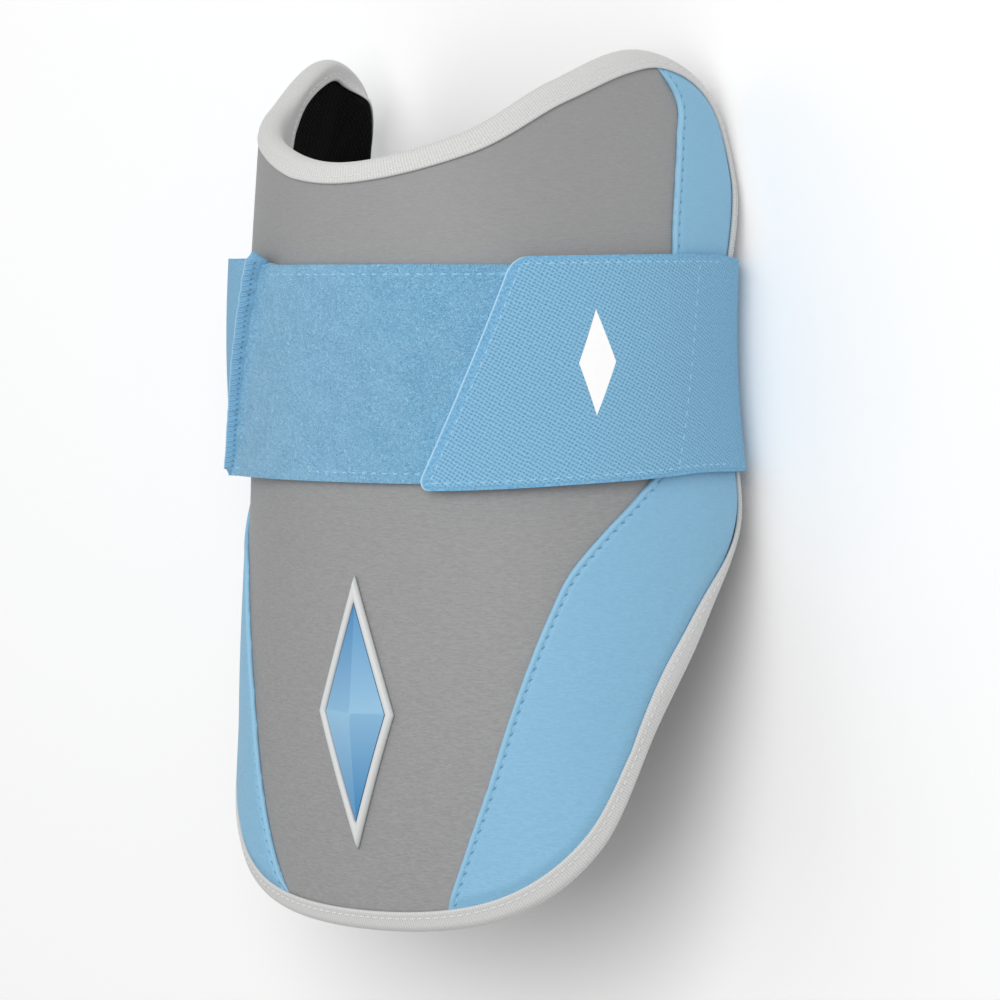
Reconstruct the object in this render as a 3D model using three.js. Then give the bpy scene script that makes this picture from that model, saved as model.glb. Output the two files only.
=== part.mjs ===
// An elbow guard lying front up on the back run of its own strap: a padded trough with two ears and a
// tongue, leather side panels, a knitted lining, a taped edge, a raised emblem and a strap loop.
// Millimetres. X runs across the arm, Y along it towards the upper arm, Z up from the floor.
import * as THREE from "three";

// Clear distance left between neighbouring pieces.
const GAP = 0.3;

// The trough's oval section at four stations: half width, half depth and the height of its middle.
const SECTIONS = [
  { y: -123, halfWidth: 82.4, halfDepth: 56.5, height: 29.9 },
  { y: -62, halfWidth: 73.3, halfDepth: 56.3, height: 32.7 },
  { y: 28, halfWidth: 72.5, halfDepth: 70.1, height: 22.1 },
  { y: 119, halfWidth: 58, halfDepth: 79.8, height: 22.1 },
];
// Behind its widest place the section narrows by this share of what an oval would.
const FLANK_NARROWING = 0.35;

// The strap draws both flanks in: depth of this waist, the angles where it starts and is full,
// and the middle and half length of the stretch that it reaches along the arm.
const WAIST = { depth: 6.8, starts: 60, full: 110, middle: 34, reach: 50 };

// Right half of the edge, from the dip before the upper arm round the ear to the tip of the tongue.
// The angle is in degrees round the section, from the front. The left half is its mirror image, apart
// from the rows of the left ear, which is cut shallower.
const EDGE = [
  { place: "dip", angle: 0, y: 88 },
  { place: "dip side", angle: 32.5, y: 95.3 },
  { place: "rise", angle: 56.5, y: 109.6, left: { angle: 58, y: 105.5 } },
  { place: "ear", angle: 80.3, y: 118.8, left: { angle: 81, y: 119.5 } },
  { place: "fall", angle: 99.9, y: 109.3, left: { angle: 94, y: 111 } },
  { place: "rear top", angle: 106.7, y: 86, left: { angle: 99.6, y: 84.7 } },
  { place: "rear middle", angle: 101, y: 38.1, left: { angle: 98, y: 38.1 } },
  { place: "rear low", angle: 105.4, y: -9.3 },
  { place: "sweep", angle: 94.6, y: -34.1 },
  { place: "flare", angle: 76.5, y: -60.9 },
  { place: "tongue side", angle: 55.2, y: -94.8 },
  { place: "tongue low", angle: 31, y: -113.4 },
  { place: "tip", angle: 0, y: -118.7 },
];
const EDGE_STEPS_PER_ROW = 3;

// Usual millimetres of surface for a degree, so that curves are drawn on the surface in even units.
const USUAL_DEGREE = 1.15;

// Padding: thickness in the middle and at the edge, and how far in from the edge it fills out, which is
// sooner along the rear edges of the flanks.
const PAD = { middle: 9.5, edge: 2.6, fillsOutAt: 24, rearFillsOutAt: 9, edgeInset: 1.5, edgeDrop: 1.2 };
// Edge angles where a rear edge starts and where it is fully one.
const REAR = { starts: 84, full: 94 };
// Rings of the trough: first by distance in from the edge, then by share of the way to the spine.
const PAD_RING_INSETS = [PAD.edgeInset, 2.5, 3.5, 6, 9];
const PAD_RING_SHARES = [0.12, 0.28, 0.5, 0.75, 1];

// The line that the rings of the trough close on: its end angle, its place along the arm and its
// usual distance from the edge.
const SPINE = { endAngle: 68, y: 12, fromEdge: 80 };

const LINING = { thickness: 1.5, gap: 0.5 };
// Tape: width of its legs, the inner one narrow along the rear edges, its thickness, the share of a leg
// where the fold ends, how far in and out the fold turns, and the inner leg's distance from the lining.
const TAPE = {
  width: 5.8,
  rearInner: 3,
  thickness: 0.9,
  foldEnds: 0.6,
  turnInset: 0.82,
  turnOut: 0.4,
  fromLining: 0.85,
};

// Side panel: leather thickness, and the seam between it and the front, from the ear to the tongue, with
// the angle of the seam on either side.
const PANEL = { thickness: 0.9, gap: 0.4, toTape: 0.8 };
const PANEL_SEAM = [
  { right: 84.4, left: 84.4, y: 111 },
  { right: 86.2, left: 86.2, y: 104.5 },
  { right: 84.1, left: 84.1, y: 94.4 },
  { right: 79, left: 79, y: 72.8 },
  { right: 75.5, left: 74.5, y: 40 },
  { right: 70, left: 71.5, y: 6 },
  { right: 65.4, left: 68.5, y: -0.4 },
  { right: 56.6, left: 60, y: -10.8 },
  { right: 49.2, left: 49.4, y: -21.3 },
  { right: 44.9, left: 46, y: -31.9 },
  { right: 38, left: 40.2, y: -53.1 },
  { right: 31.9, left: 35.2, y: -74.4 },
  { right: 24.6, left: 27.8, y: -96 },
  { right: 20.3, left: 21.5, y: -109.4 },
];
const PANEL_EDGE_ROWS = { from: 3.2, to: 11.25 };
const PANEL_STEPS = { along: 28, across: 7 };

// Strap band: its path round the section, free end last, as the distance of its inner face from the
// trough and the stations of its two edges along the arm.
const STRAP = { thickness: 1.6, columns: 6 };
const STRAP_PATH = [
  { angle: -100, lift: 2.4, low: 2, high: 61.6 },
  { angle: -65, lift: 4.6, low: 3.4, high: 62.9 },
  { angle: -30, lift: 4.8, low: 3.4, high: 62.6 },
  { angle: 15, lift: 2.7, low: 0.8, high: 62.4 },
  { angle: 62, lift: 2.65, low: 3.6, high: 63.4 },
  { angle: 85, lift: 2.1, low: 5.2, high: 63.6 },
  { angle: 100, lift: 2.2, low: 4.6, high: 61.4 },
];
// Angle of the slanted free end, and of the slanted seam, at the band's low and high edge.
const STRAP_END = { low: 16.5, high: 39.9 };
const STRAP_SEAM = { low: -44.5, high: -24 };
// Angle where the band leaves the flank, and half length of its straight run across the back.
const STRAP_BACK = { leavesAt: 95, halfRun: 56 };
const STRAP_STEPS = { end: 14, corner: 6, back: 6, flank: 9 };

// Loop panel that the free end grips: right end angle, edges along the arm and distance from the trough.
const LOOP = { endAngle: 61, low: 2.6, high: 60.8, thickness: 2, steps: 16 };
const LOOP_LIFT = [
  { angle: -46, lift: 3.2 },
  { angle: -12, lift: 0.5 },
  { angle: 10, lift: 0.35 },
  { angle: 61, lift: 0.35 },
];

// Overlocked ridge that joins band and loop panel: widths at its foot and crest, heights on the trough,
// the two ends of the seam along the arm, and the ridge's reach in lengths of the seam.
const RIDGE = {
  foot: 3.6,
  clear: 0.45,
  crest: 1.6,
  low: 2.2,
  shoulder: 5.9,
  high: 8.2,
  from: 2.6,
  to: 62.8,
  reach: 1.025,
};

// Raised emblem on the tongue: an upright lozenge with a rim round a faceted face.
const EMBLEM = { y: -59.5, halfHeight: 37, halfWidth: 12.5 };
const EMBLEM_RIM = { width: 2.2, height: 1.6, slope: 0.6 };
const EMBLEM_FACE = { side: 0.96, middle: 2.6 };
const EMBLEM_STEPS_PER_SIDE = 6;

const COLOURS = {
  frontLeather: 0xa0a0a0,
  sideLeather: 0x87b3cf,
  lining: 0x0c0c0d,
  tape: 0xd8d8d6,
  elastic: 0x7aaccb,
  loop: 0x80b1cf,
  thread: 0x5b9bc4,
  rim: 0xd2d4d4,
  face: 0x3f86b8,
};

const { degToRad, lerp, smoothstep } = THREE.MathUtils;

// Slope of one column of a table at row i: level where the column turns, else the neighbours' harmonic mean.
function slopeAt(rows, along, key, i) {
  const between = (j) => (rows[j + 1][key] - rows[j][key]) / (rows[j + 1][along] - rows[j][along]);
  if (i === 0) return between(0);
  if (i === rows.length - 1) return between(i - 1);
  const before = between(i - 1);
  const after = between(i);
  return before * after <= 0 ? 0 : (2 * before * after) / (before + after);
}

// Smooth value of one column of a table at place x of its along column, held level past both ends.
function fromTable(rows, along, key, x) {
  const place = THREE.MathUtils.clamp(x, rows[0][along], rows.at(-1)[along]);
  const i = Math.max(0, Math.min(rows.length - 2, rows.findIndex((row) => row[along] >= place) - 1));
  const span = rows[i + 1][along] - rows[i][along];
  const s = (place - rows[i][along]) / span;
  const start = rows[i][key] * (1 + 2 * s) * (1 - s) ** 2;
  const end = rows[i + 1][key] * (3 - 2 * s) * s ** 2;
  const startSlope = slopeAt(rows, along, key, i) * span * s * (1 - s) ** 2;
  const endSlope = slopeAt(rows, along, key, i + 1) * span * (s - 1) * s ** 2;
  return start + end + startSlope + endSlope;
}

function sectionAt(y) {
  return {
    halfWidth: fromTable(SECTIONS, "y", "halfWidth", y),
    halfDepth: fromTable(SECTIONS, "y", "halfDepth", y),
    height: fromTable(SECTIONS, "y", "height", y),
  };
}

function waistAt(angle, y) {
  const share = Math.max(0, 1 - ((y - WAIST.middle) / WAIST.reach) ** 2);
  return WAIST.depth * share ** 2 * smoothstep(Math.abs(angle), WAIST.starts, WAIST.full);
}

// Point at an angle round the section and a station y, moved out of the trough's surface by offset.
function onTrough({ angle, y }, offset) {
  const { halfWidth, halfDepth, height } = sectionAt(y);
  const oval = Math.sin(degToRad(angle));
  const flank = Math.sign(angle) * (1 - FLANK_NARROWING * (1 - Math.abs(oval)));
  const sine = Math.abs(angle) > 90 ? flank : oval;
  const cosine = Math.cos(degToRad(angle));
  const normal = new THREE.Vector2(sine / halfWidth, cosine / halfDepth).normalize();
  const x = halfWidth * sine - Math.sign(angle) * waistAt(angle, y);
  return new THREE.Vector3(x + offset * normal.x, y, height + halfDepth * cosine + offset * normal.y);
}

// Millimetres of surface for each degree round the section.
function millimetresPerDegree({ angle, y }) {
  const { halfWidth, halfDepth } = sectionAt(y);
  return degToRad(Math.hypot(halfWidth * Math.cos(degToRad(angle)), halfDepth * Math.sin(degToRad(angle))));
}

const leftHalf = EDGE.slice(1, -1)
  .reverse()
  .map((row) => row.left ?? row)
  .map(({ angle, y }) => ({ angle: -angle, y }));
const EDGE_LOOP = [...EDGE, ...leftHalf];
const edgeCurve = new THREE.CatmullRomCurve3(
  EDGE_LOOP.map(({ angle, y }) => new THREE.Vector3(angle * USUAL_DEGREE, y, 0)),
  true,
  "centripetal",
);
const EDGE_STEPS = EDGE_LOOP.length * EDGE_STEPS_PER_ROW;

// Place on the trough at a row number of the edge, moved in from the edge by inset. Its rear share tells
// how far the edge is a rear edge there.
function inFromEdge(row, inset) {
  const share = (row / EDGE_LOOP.length) % 1;
  const point = edgeCurve.getPoint(share);
  const tangent = edgeCurve.getTangent(share);
  const place = { angle: point.x / USUAL_DEGREE, y: point.y };
  const scale = millimetresPerDegree(place);
  const inward = new THREE.Vector2(tangent.y, (-tangent.x * scale) / USUAL_DEGREE).normalize();
  const rear = smoothstep(Math.abs(place.angle), REAR.starts, REAR.full);
  return { angle: place.angle + (inset * inward.x) / scale, y: place.y + inset * inward.y, inset, rear };
}

// Rings of places that follow the edge inwards and close on the spine.
function troughRings() {
  const quarter = EDGE_STEPS / 4;
  const steps = Array.from({ length: EDGE_STEPS }, (_, i) => i);
  const deepest = PAD_RING_INSETS.at(-1);
  const rings = PAD_RING_INSETS.map((inset) => steps.map((i) => inFromEdge(i / EDGE_STEPS_PER_ROW, inset)));
  for (const share of PAD_RING_SHARES) {
    rings.push(
      steps.map((i) => {
        const from = inFromEdge(i / EDGE_STEPS_PER_ROW, deepest);
        const fromMiddle = quarter - Math.abs((i % (2 * quarter)) - quarter);
        const side = i <= 2 * quarter ? 1 : -1;
        const spineAngle = (side * SPINE.endAngle * fromMiddle) / quarter;
        return {
          angle: lerp(from.angle, spineAngle, share),
          y: lerp(from.y, SPINE.y, share),
          inset: lerp(deepest, SPINE.fromEdge, share),
          rear: from.rear,
        };
      }),
    );
  }
  return rings;
}

// Outer and inner faces of the padding and of the lining, at a place with its distance in from the edge.
function padOuter({ inset }) {
  return -PAD.edgeDrop * (1 - smoothstep(inset, PAD.edgeInset, TAPE.width));
}
function padInner({ inset, rear }) {
  const fillsOutAt = lerp(PAD.fillsOutAt, PAD.rearFillsOutAt, rear);
  return -lerp(PAD.edge + PAD.edgeDrop, PAD.middle, smoothstep(inset, PAD.edgeInset, fillsOutAt));
}
function liningOuter(place) {
  return padInner(place) - LINING.gap;
}
function liningInner(place) {
  return liningOuter(place) - LINING.thickness;
}

// Closed geometry from points and from faces of three or four corners, counter-clockwise from outside.
// Corners that fall together are one corner, so a quad may close to a triangle or to nothing.
function closedGeometry(points, faces) {
  const numbers = new Map();
  const corners = [];
  const numberOf = points.map((point) => {
    const key = point.toArray().map((v) => v.toFixed(3)).join(" ");
    if (!numbers.has(key)) {
      numbers.set(key, corners.length);
      corners.push(point);
    }
    return numbers.get(key);
  });
  const index = [];
  for (const face of faces) {
    const ring = face.map((i) => numberOf[i]).filter((n, i, all) => n !== all[(i + 1) % all.length]);
    for (let i = 2; i < ring.length; i += 1) index.push(ring[0], ring[i - 1], ring[i]);
  }
  return new THREE.BufferGeometry().setFromPoints(corners).setIndex(index);
}

// A quad seen from its other side, split along the same diagonal.
function underside([a, b, c, d]) {
  return [a, d, c, b];
}

// Layer between two faces over the same rings, joined round the edge.
function ringLayer(rings, outerAt, innerAt) {
  const count = rings[0].length;
  const outer = rings.flatMap((ring) => ring.map((place) => onTrough(place, outerAt(place))));
  const inner = rings.flatMap((ring) => ring.map((place) => onTrough(place, innerAt(place))));
  const below = outer.length;
  const faces = [];
  for (let r = 0; r + 1 < rings.length; r += 1) {
    for (let i = 0; i < count; i += 1) {
      const next = (i + 1) % count;
      const face = [r * count + i, (r + 1) * count + i, (r + 1) * count + next, r * count + next];
      faces.push(face);
      faces.push(underside(face).map((n) => n + below));
    }
  }
  for (let i = 0; i < count; i += 1) {
    const next = (i + 1) % count;
    faces.push([i, next, below + next, below + i]);
  }
  return closedGeometry([...outer, ...inner], faces);
}

// Slab between two grids of points with the same rows and columns, closed along its four sides.
function slab(top, bottom) {
  const rows = top.length;
  const columns = top[0].length;
  const last = columns - 1;
  const below = rows * columns;
  const at = (r, c) => r * columns + c;
  const faces = [];
  for (let r = 0; r + 1 < rows; r += 1) {
    for (let c = 0; c + 1 < columns; c += 1) {
      const face = [at(r, c), at(r + 1, c), at(r + 1, c + 1), at(r, c + 1)];
      faces.push(face);
      faces.push(underside(face).map((n) => n + below));
    }
    faces.push([at(r, 0), below + at(r, 0), below + at(r + 1, 0), at(r + 1, 0)]);
    faces.push([at(r + 1, last), below + at(r + 1, last), below + at(r, last), at(r, last)]);
  }
  for (let c = 0; c + 1 < columns; c += 1) {
    faces.push([at(0, c + 1), below + at(0, c + 1), below + at(0, c), at(0, c)]);
    faces.push([at(rows - 1, c), below + at(rows - 1, c), below + at(rows - 1, c + 1), at(rows - 1, c + 1)]);
  }
  return closedGeometry([...top.flat(), ...bottom.flat()], faces);
}

// Sweep of closed profiles, one for each station, round a closed path.
function closedSweep(profiles) {
  const count = profiles[0].length;
  const faces = [];
  profiles.forEach((_, s) => {
    const next = (s + 1) % profiles.length;
    for (let j = 0; j < count; j += 1) {
      const k = (j + 1) % count;
      faces.push([s * count + j, next * count + j, next * count + k, s * count + k]);
    }
  });
  return closedGeometry(profiles.flat(), faces);
}

// Geometry turned inside out where its faces point inwards.
function facingOut(geometry) {
  const at = geometry.getAttribute("position");
  const [a, b, c] = [new THREE.Vector3(), new THREE.Vector3(), new THREE.Vector3()];
  let volume = 0;
  for (let i = 0; i < geometry.index.count; i += 3) {
    [a, b, c].forEach((corner, n) => corner.fromBufferAttribute(at, geometry.index.getX(i + n)));
    volume += a.dot(b.cross(c));
  }
  if (volume < 0) geometry.index.array.reverse();
  return geometry;
}

// Section of the tape folded over the edge of padding and lining, from the front leg's inner edge.
function tapeSection(rear) {
  const { width, rearInner, thickness, foldEnds, turnInset, turnOut, fromLining } = TAPE;
  const { edgeInset } = PAD;
  const clear = edgeInset - GAP;
  const innerWidth = lerp(width, rearInner, rear);
  const front = (inset, out) => ({ inset, offset: padOuter({ inset }) + out });
  const back = (inset, out) => ({ inset, offset: liningInner({ inset, rear }) - out });
  const frontEdge = padOuter({ inset: edgeInset });
  const backEdge = liningInner({ inset: edgeInset, rear });
  return [
    front(width, GAP),
    front(width, GAP + thickness),
    front(width * foldEnds, GAP + thickness),
    { inset: turnInset, offset: frontEdge + turnOut },
    { inset: 0, offset: lerp(frontEdge, backEdge, 0.5) },
    { inset: turnInset, offset: backEdge - turnOut },
    back(innerWidth * foldEnds, fromLining + thickness),
    back(innerWidth, fromLining + thickness),
    back(innerWidth, fromLining),
    back(innerWidth * foldEnds, fromLining),
    { inset: clear, offset: backEdge - GAP },
    { inset: clear, offset: frontEdge + GAP },
    front(width * foldEnds, GAP),
  ];
}

// Tape all the way round the edge.
function edgeTape() {
  const profiles = [];
  for (let i = 0; i < EDGE_STEPS; i += 1) {
    const row = i / EDGE_STEPS_PER_ROW;
    const section = tapeSection(inFromEdge(row, 0).rear);
    profiles.push(section.map(({ inset, offset }) => onTrough(inFromEdge(row, inset), offset)));
  }
  return closedSweep(profiles);
}

// Leather panel between the seam and the tape, on the side that sign names.
function sidePanel(sign) {
  const seam = new THREE.CatmullRomCurve3(
    PANEL_SEAM.map(
      ({ right, left, y }) => new THREE.Vector3((sign > 0 ? right : -left) * USUAL_DEGREE, y, 0),
    ),
  );
  const places = [];
  for (let i = 0; i <= PANEL_STEPS.along; i += 1) {
    const share = i / PANEL_STEPS.along;
    const inner = seam.getPointAt(share);
    const rightRow = lerp(PANEL_EDGE_ROWS.from, PANEL_EDGE_ROWS.to, share);
    const edgeRow = sign > 0 ? rightRow : EDGE_LOOP.length - rightRow;
    const outer = inFromEdge(edgeRow, TAPE.width + PANEL.toTape);
    const row = [];
    for (let j = 0; j <= PANEL_STEPS.across; j += 1) {
      const across = j / PANEL_STEPS.across;
      row.push({
        angle: lerp(inner.x / USUAL_DEGREE, outer.angle, across),
        y: lerp(inner.y, outer.y, across),
      });
    }
    places.push(row);
  }
  const layer = (offset) => places.map((row) => row.map((place) => onTrough(place, offset)));
  return slab(layer(PANEL.gap + PANEL.thickness), layer(PANEL.gap));
}

// Half of the width that the ridge takes between band and loop panel, in degrees, with the gap.
function ridgeHalfAngle(place) {
  return (RIDGE.foot / 2 + RIDGE.clear) / millimetresPerDegree(place);
}

// Point of one face of the band, at an angle and a share of the band's width from its low edge.
function onBand(angle, share, extra) {
  const low = fromTable(STRAP_PATH, "angle", "low", angle);
  const high = fromTable(STRAP_PATH, "angle", "high", angle);
  const lift = fromTable(STRAP_PATH, "angle", "lift", angle);
  return onTrough({ angle, y: lerp(low, high, share) }, lift + extra);
}

// Round the corner from the flank to the straight run across the back, at height z of this face.
function backCorner(share, sign, extra, z) {
  const leaves = sign * STRAP_BACK.leavesAt;
  const start = onBand(leaves, share, extra);
  const before = onBand(leaves - sign, share, extra);
  const slope = (start.x - before.x) / (start.z - before.z);
  const back = onBand(sign * 180, share, extra).y;
  const corner = new THREE.Vector3(start.x + slope * (z - start.z), back, z);
  const end = new THREE.Vector3(sign * STRAP_BACK.halfRun, back, z);
  return new THREE.QuadraticBezierCurve3(start, corner, end).getPoints(STRAP_STEPS.corner);
}

// One face of the band, as the run of points at a share of its width, free end first.
function strapRun(share, extra, z) {
  const run = [];
  const first = lerp(STRAP_END.low, STRAP_END.high, share);
  for (let i = 0; i < STRAP_STEPS.end; i += 1) {
    run.push(onBand(lerp(first, STRAP_BACK.leavesAt, i / STRAP_STEPS.end), share, extra));
  }
  const right = backCorner(share, 1, extra, z);
  const left = backCorner(share, -1, extra, z).reverse();
  run.push(...right);
  for (let i = 1; i < STRAP_STEPS.back; i += 1) {
    run.push(right.at(-1).clone().lerp(left[0], i / STRAP_STEPS.back));
  }
  run.push(...left);
  const seam = lerp(STRAP_SEAM.low, STRAP_SEAM.high, share);
  const last = seam - ridgeHalfAngle({ angle: seam, y: onBand(seam, share, extra).y });
  for (let i = 1; i <= STRAP_STEPS.flank; i += 1) {
    run.push(onBand(lerp(-STRAP_BACK.leavesAt, last, i / STRAP_STEPS.flank), share, extra));
  }
  return run;
}

// Shares of the width at which a band has a column of points.
function columnShares(count) {
  return Array.from({ length: count }, (_, i) => i / (count - 1));
}

// Rows and columns of a grid exchanged.
function turned(grid) {
  return grid[0].map((_, c) => grid.map((row) => row[c]));
}

function elasticStrap() {
  const shares = columnShares(STRAP.columns);
  const outer = shares.map((share) => strapRun(share, STRAP.thickness, 0));
  const inner = shares.map((share) => strapRun(share, 0, STRAP.thickness));
  return slab(turned(outer), turned(inner));
}

function loopPanel() {
  const layer = (extra) =>
    columnShares(STRAP.columns).map((share) => {
      const y = lerp(LOOP.low, LOOP.high, share);
      const seam = lerp(STRAP_SEAM.low, STRAP_SEAM.high, share);
      const first = seam + ridgeHalfAngle({ angle: seam, y });
      return Array.from({ length: LOOP.steps + 1 }, (_, i) => {
        const angle = lerp(first, LOOP.endAngle, i / LOOP.steps);
        return onTrough({ angle, y }, fromTable(LOOP_LIFT, "angle", "lift", angle) + extra);
      });
    });
  return slab(turned(layer(LOOP.thickness)), turned(layer(0)));
}

// Ridge along the slanted seam, with a narrow crest.
function strapSeam() {
  const section = [
    { across: -RIDGE.foot / 2, offset: RIDGE.low },
    { across: -RIDGE.foot / 2, offset: RIDGE.shoulder },
    { across: -RIDGE.crest / 2, offset: RIDGE.high },
    { across: RIDGE.crest / 2, offset: RIDGE.high },
    { across: RIDGE.foot / 2, offset: RIDGE.shoulder },
    { across: RIDGE.foot / 2, offset: RIDGE.low },
  ];
  const shares = columnShares(STRAP.columns);
  const points = shares.flatMap((share) => {
    const angle = lerp(STRAP_SEAM.low, STRAP_SEAM.high, share * RIDGE.reach);
    const y = lerp(RIDGE.from, RIDGE.to, share * RIDGE.reach);
    const scale = millimetresPerDegree({ angle, y });
    return section.map(({ across, offset }) => onTrough({ angle: angle + across / scale, y }, offset));
  });
  const count = section.length;
  const faces = [];
  for (let c = 0; c + 1 < shares.length; c += 1) {
    for (let j = 0; j < count; j += 1) {
      const k = (j + 1) % count;
      faces.push([c * count + j, c * count + k, (c + 1) * count + k, (c + 1) * count + j]);
    }
  }
  const end = section.map((_, j) => j);
  faces.push([...end].reverse());
  faces.push(end.map((j) => j + (shares.length - 1) * count));
  return closedGeometry(points, faces);
}

// Places round the emblem's lozenge, drawn in by inset from its outline.
function lozenge(inset) {
  const { y, halfHeight, halfWidth } = EMBLEM;
  const slant = Math.hypot(halfHeight, halfWidth);
  const shrink = 1 - (inset * slant) / (halfHeight * halfWidth);
  const corners = [
    [0, halfHeight],
    [halfWidth, 0],
    [0, -halfHeight],
    [-halfWidth, 0],
  ];
  const places = [];
  corners.forEach(([x0, y0], side) => {
    const [x1, y1] = corners[(side + 1) % corners.length];
    for (let i = 0; i < EMBLEM_STEPS_PER_SIDE; i += 1) {
      const share = i / EMBLEM_STEPS_PER_SIDE;
      const station = y + shrink * lerp(y0, y1, share);
      const scale = millimetresPerDegree({ angle: 0, y: station });
      places.push({ angle: (shrink * lerp(x0, x1, share)) / scale, y: station });
    }
  });
  return places;
}

// Rim with a sloping outer side.
function emblemRim() {
  const { width, height, slope } = EMBLEM_RIM;
  const section = [
    { inset: 0, offset: GAP },
    { inset: slope, offset: GAP + height },
    { inset: width, offset: GAP + height },
    { inset: width, offset: GAP },
  ];
  const lines = section.map(({ inset, offset }) => lozenge(inset).map((place) => onTrough(place, offset)));
  return closedSweep(turned(lines));
}

// Face inside the rim: four facets that rise to a ridge point.
function emblemFace() {
  const { y } = EMBLEM;
  const outline = lozenge(EMBLEM_RIM.width + GAP);
  const count = outline.length;
  const points = [
    ...outline.map((place) => onTrough(place, GAP)),
    ...outline.map((place) => onTrough(place, GAP + EMBLEM_FACE.side)),
    onTrough({ angle: 0, y }, GAP),
    onTrough({ angle: 0, y }, GAP + EMBLEM_FACE.middle),
  ];
  const faces = [];
  for (let i = 0; i < count; i += 1) {
    const next = (i + 1) % count;
    faces.push([i, count + i, count + next, next]);
    faces.push([i, next, 2 * count]);
    faces.push([count + next, count + i, 2 * count + 1]);
  }
  return closedGeometry(points, faces);
}

function piece(name, geometry, colour, roughness) {
  const mesh = new THREE.Mesh(
    facingOut(geometry),
    new THREE.MeshStandardMaterial({ color: colour, roughness, metalness: 0 }),
  );
  mesh.name = name;
  return mesh;
}

const rings = troughRings();
const guard = new THREE.Group();
guard.name = "elbow_guard";
guard.add(
  piece("padded_shell", ringLayer(rings, padOuter, padInner), COLOURS.frontLeather, 0.6),
  piece("lining", ringLayer(rings, liningOuter, liningInner), COLOURS.lining, 0.95),
  piece("edge_tape", edgeTape(), COLOURS.tape, 0.85),
  piece("side_panel_right", sidePanel(1), COLOURS.sideLeather, 0.55),
  piece("side_panel_left", sidePanel(-1), COLOURS.sideLeather, 0.55),
  piece("elastic_strap", elasticStrap(), COLOURS.elastic, 0.85),
  piece("loop_panel", loopPanel(), COLOURS.loop, 0.95),
  piece("strap_seam", strapSeam(), COLOURS.thread, 0.85),
  piece("emblem_rim", emblemRim(), COLOURS.rim, 0.5),
  piece("emblem_face", emblemFace(), COLOURS.face, 0.4),
);

export default guard;
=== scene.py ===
"""An elbow guard, front up on the floor, resting on the back run of its own strap.
Sizes are in millimetres and colours in sRGB; X runs across the arm, Y along it and Z up."""

import bmesh
import bpy
import numpy as np
from mathutils import Matrix, Vector


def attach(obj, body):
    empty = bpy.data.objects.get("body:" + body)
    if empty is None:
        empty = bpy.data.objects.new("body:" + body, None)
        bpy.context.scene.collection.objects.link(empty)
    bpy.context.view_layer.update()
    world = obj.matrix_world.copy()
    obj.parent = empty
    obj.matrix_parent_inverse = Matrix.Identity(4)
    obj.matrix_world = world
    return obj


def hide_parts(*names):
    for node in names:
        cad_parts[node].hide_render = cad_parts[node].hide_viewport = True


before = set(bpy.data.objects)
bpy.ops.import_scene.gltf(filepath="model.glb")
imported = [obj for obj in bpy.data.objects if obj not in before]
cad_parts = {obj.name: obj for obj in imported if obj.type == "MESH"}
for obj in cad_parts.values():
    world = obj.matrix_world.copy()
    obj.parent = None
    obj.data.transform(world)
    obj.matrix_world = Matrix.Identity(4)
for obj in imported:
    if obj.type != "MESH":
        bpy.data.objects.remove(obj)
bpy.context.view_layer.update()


# Studio: a matt white floor, a bright even room and large soft lamps, as for a catalogue photograph.
# The camera stands well above the floor and looks at the guard's front and right flank.
MM = 0.001
FLOOR = {"half_side": 3000.0, "drop": 0.3, "colour": "ffffff"}
CAMERA = {"turn": 36.95, "rise": 2.55, "distance": 1240.0, "pixels_per_mm": 3.58}
CAMERA_AIM = np.array([0.0, -2.0, 28.0])
CAMERA_SHIFT = {"x": 0.0070, "y": -0.0090}
SENSOR_WIDTH = 36.0
PICTURE_WIDTH = 1000
ROOM_LIGHT = 0.42
LAMPS = [
    {"name": "key_lamp", "place": (400, 350, 1280), "side": 900, "watts": 11.5},
    {"name": "fill_lamp", "place": (-750, 150, 850), "side": 1000, "watts": 2.0},
]


def linear(hex_colour):
    """Linear red, green, blue and alpha of an sRGB hex colour."""
    srgb = np.array([int(hex_colour[i : i + 2], 16) for i in (0, 2, 4)]) / 255
    low = srgb / 12.92
    high = ((srgb + 0.055) / 1.055) ** 2.4
    return (*np.where(srgb <= 0.04045, low, high).tolist(), 1.0)


# Numbers of a mix node's two colour sockets and of the output that gives the mixed colour.
A, B, MIXED = 6, 7, 2


def plug(target, inputs):
    """Sets a node's sockets: each gets a value, or a link from another node's output."""
    for socket, value in inputs.items():
        if isinstance(value, bpy.types.NodeSocket):
            target.id_data.links.new(value, target.inputs[socket])
        else:
            target.inputs[socket].default_value = value


def node(tree, kind, inputs=None, **settings):
    """Adds a node with its properties and the values or links of its sockets, and gives its outputs."""
    made = tree.nodes.new("ShaderNode" + kind)
    for name, value in settings.items():
        setattr(made, name, value)
    plug(made, inputs or {})
    return made.outputs


def new_material(name):
    """A node material with its tree and its one surface shader."""
    material = bpy.data.materials.new(name)
    material.use_nodes = True
    tree = material.node_tree
    return material, tree, tree.nodes["Principled BSDF"]


scene = bpy.context.scene
scene.view_settings.view_transform = "Standard"

room = bpy.data.worlds.new("bright_room")
room.use_nodes = True
plug(room.node_tree.nodes["Background"], {"Color": (1, 1, 1, 1), "Strength": ROOM_LIGHT})
scene.world = room

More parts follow.
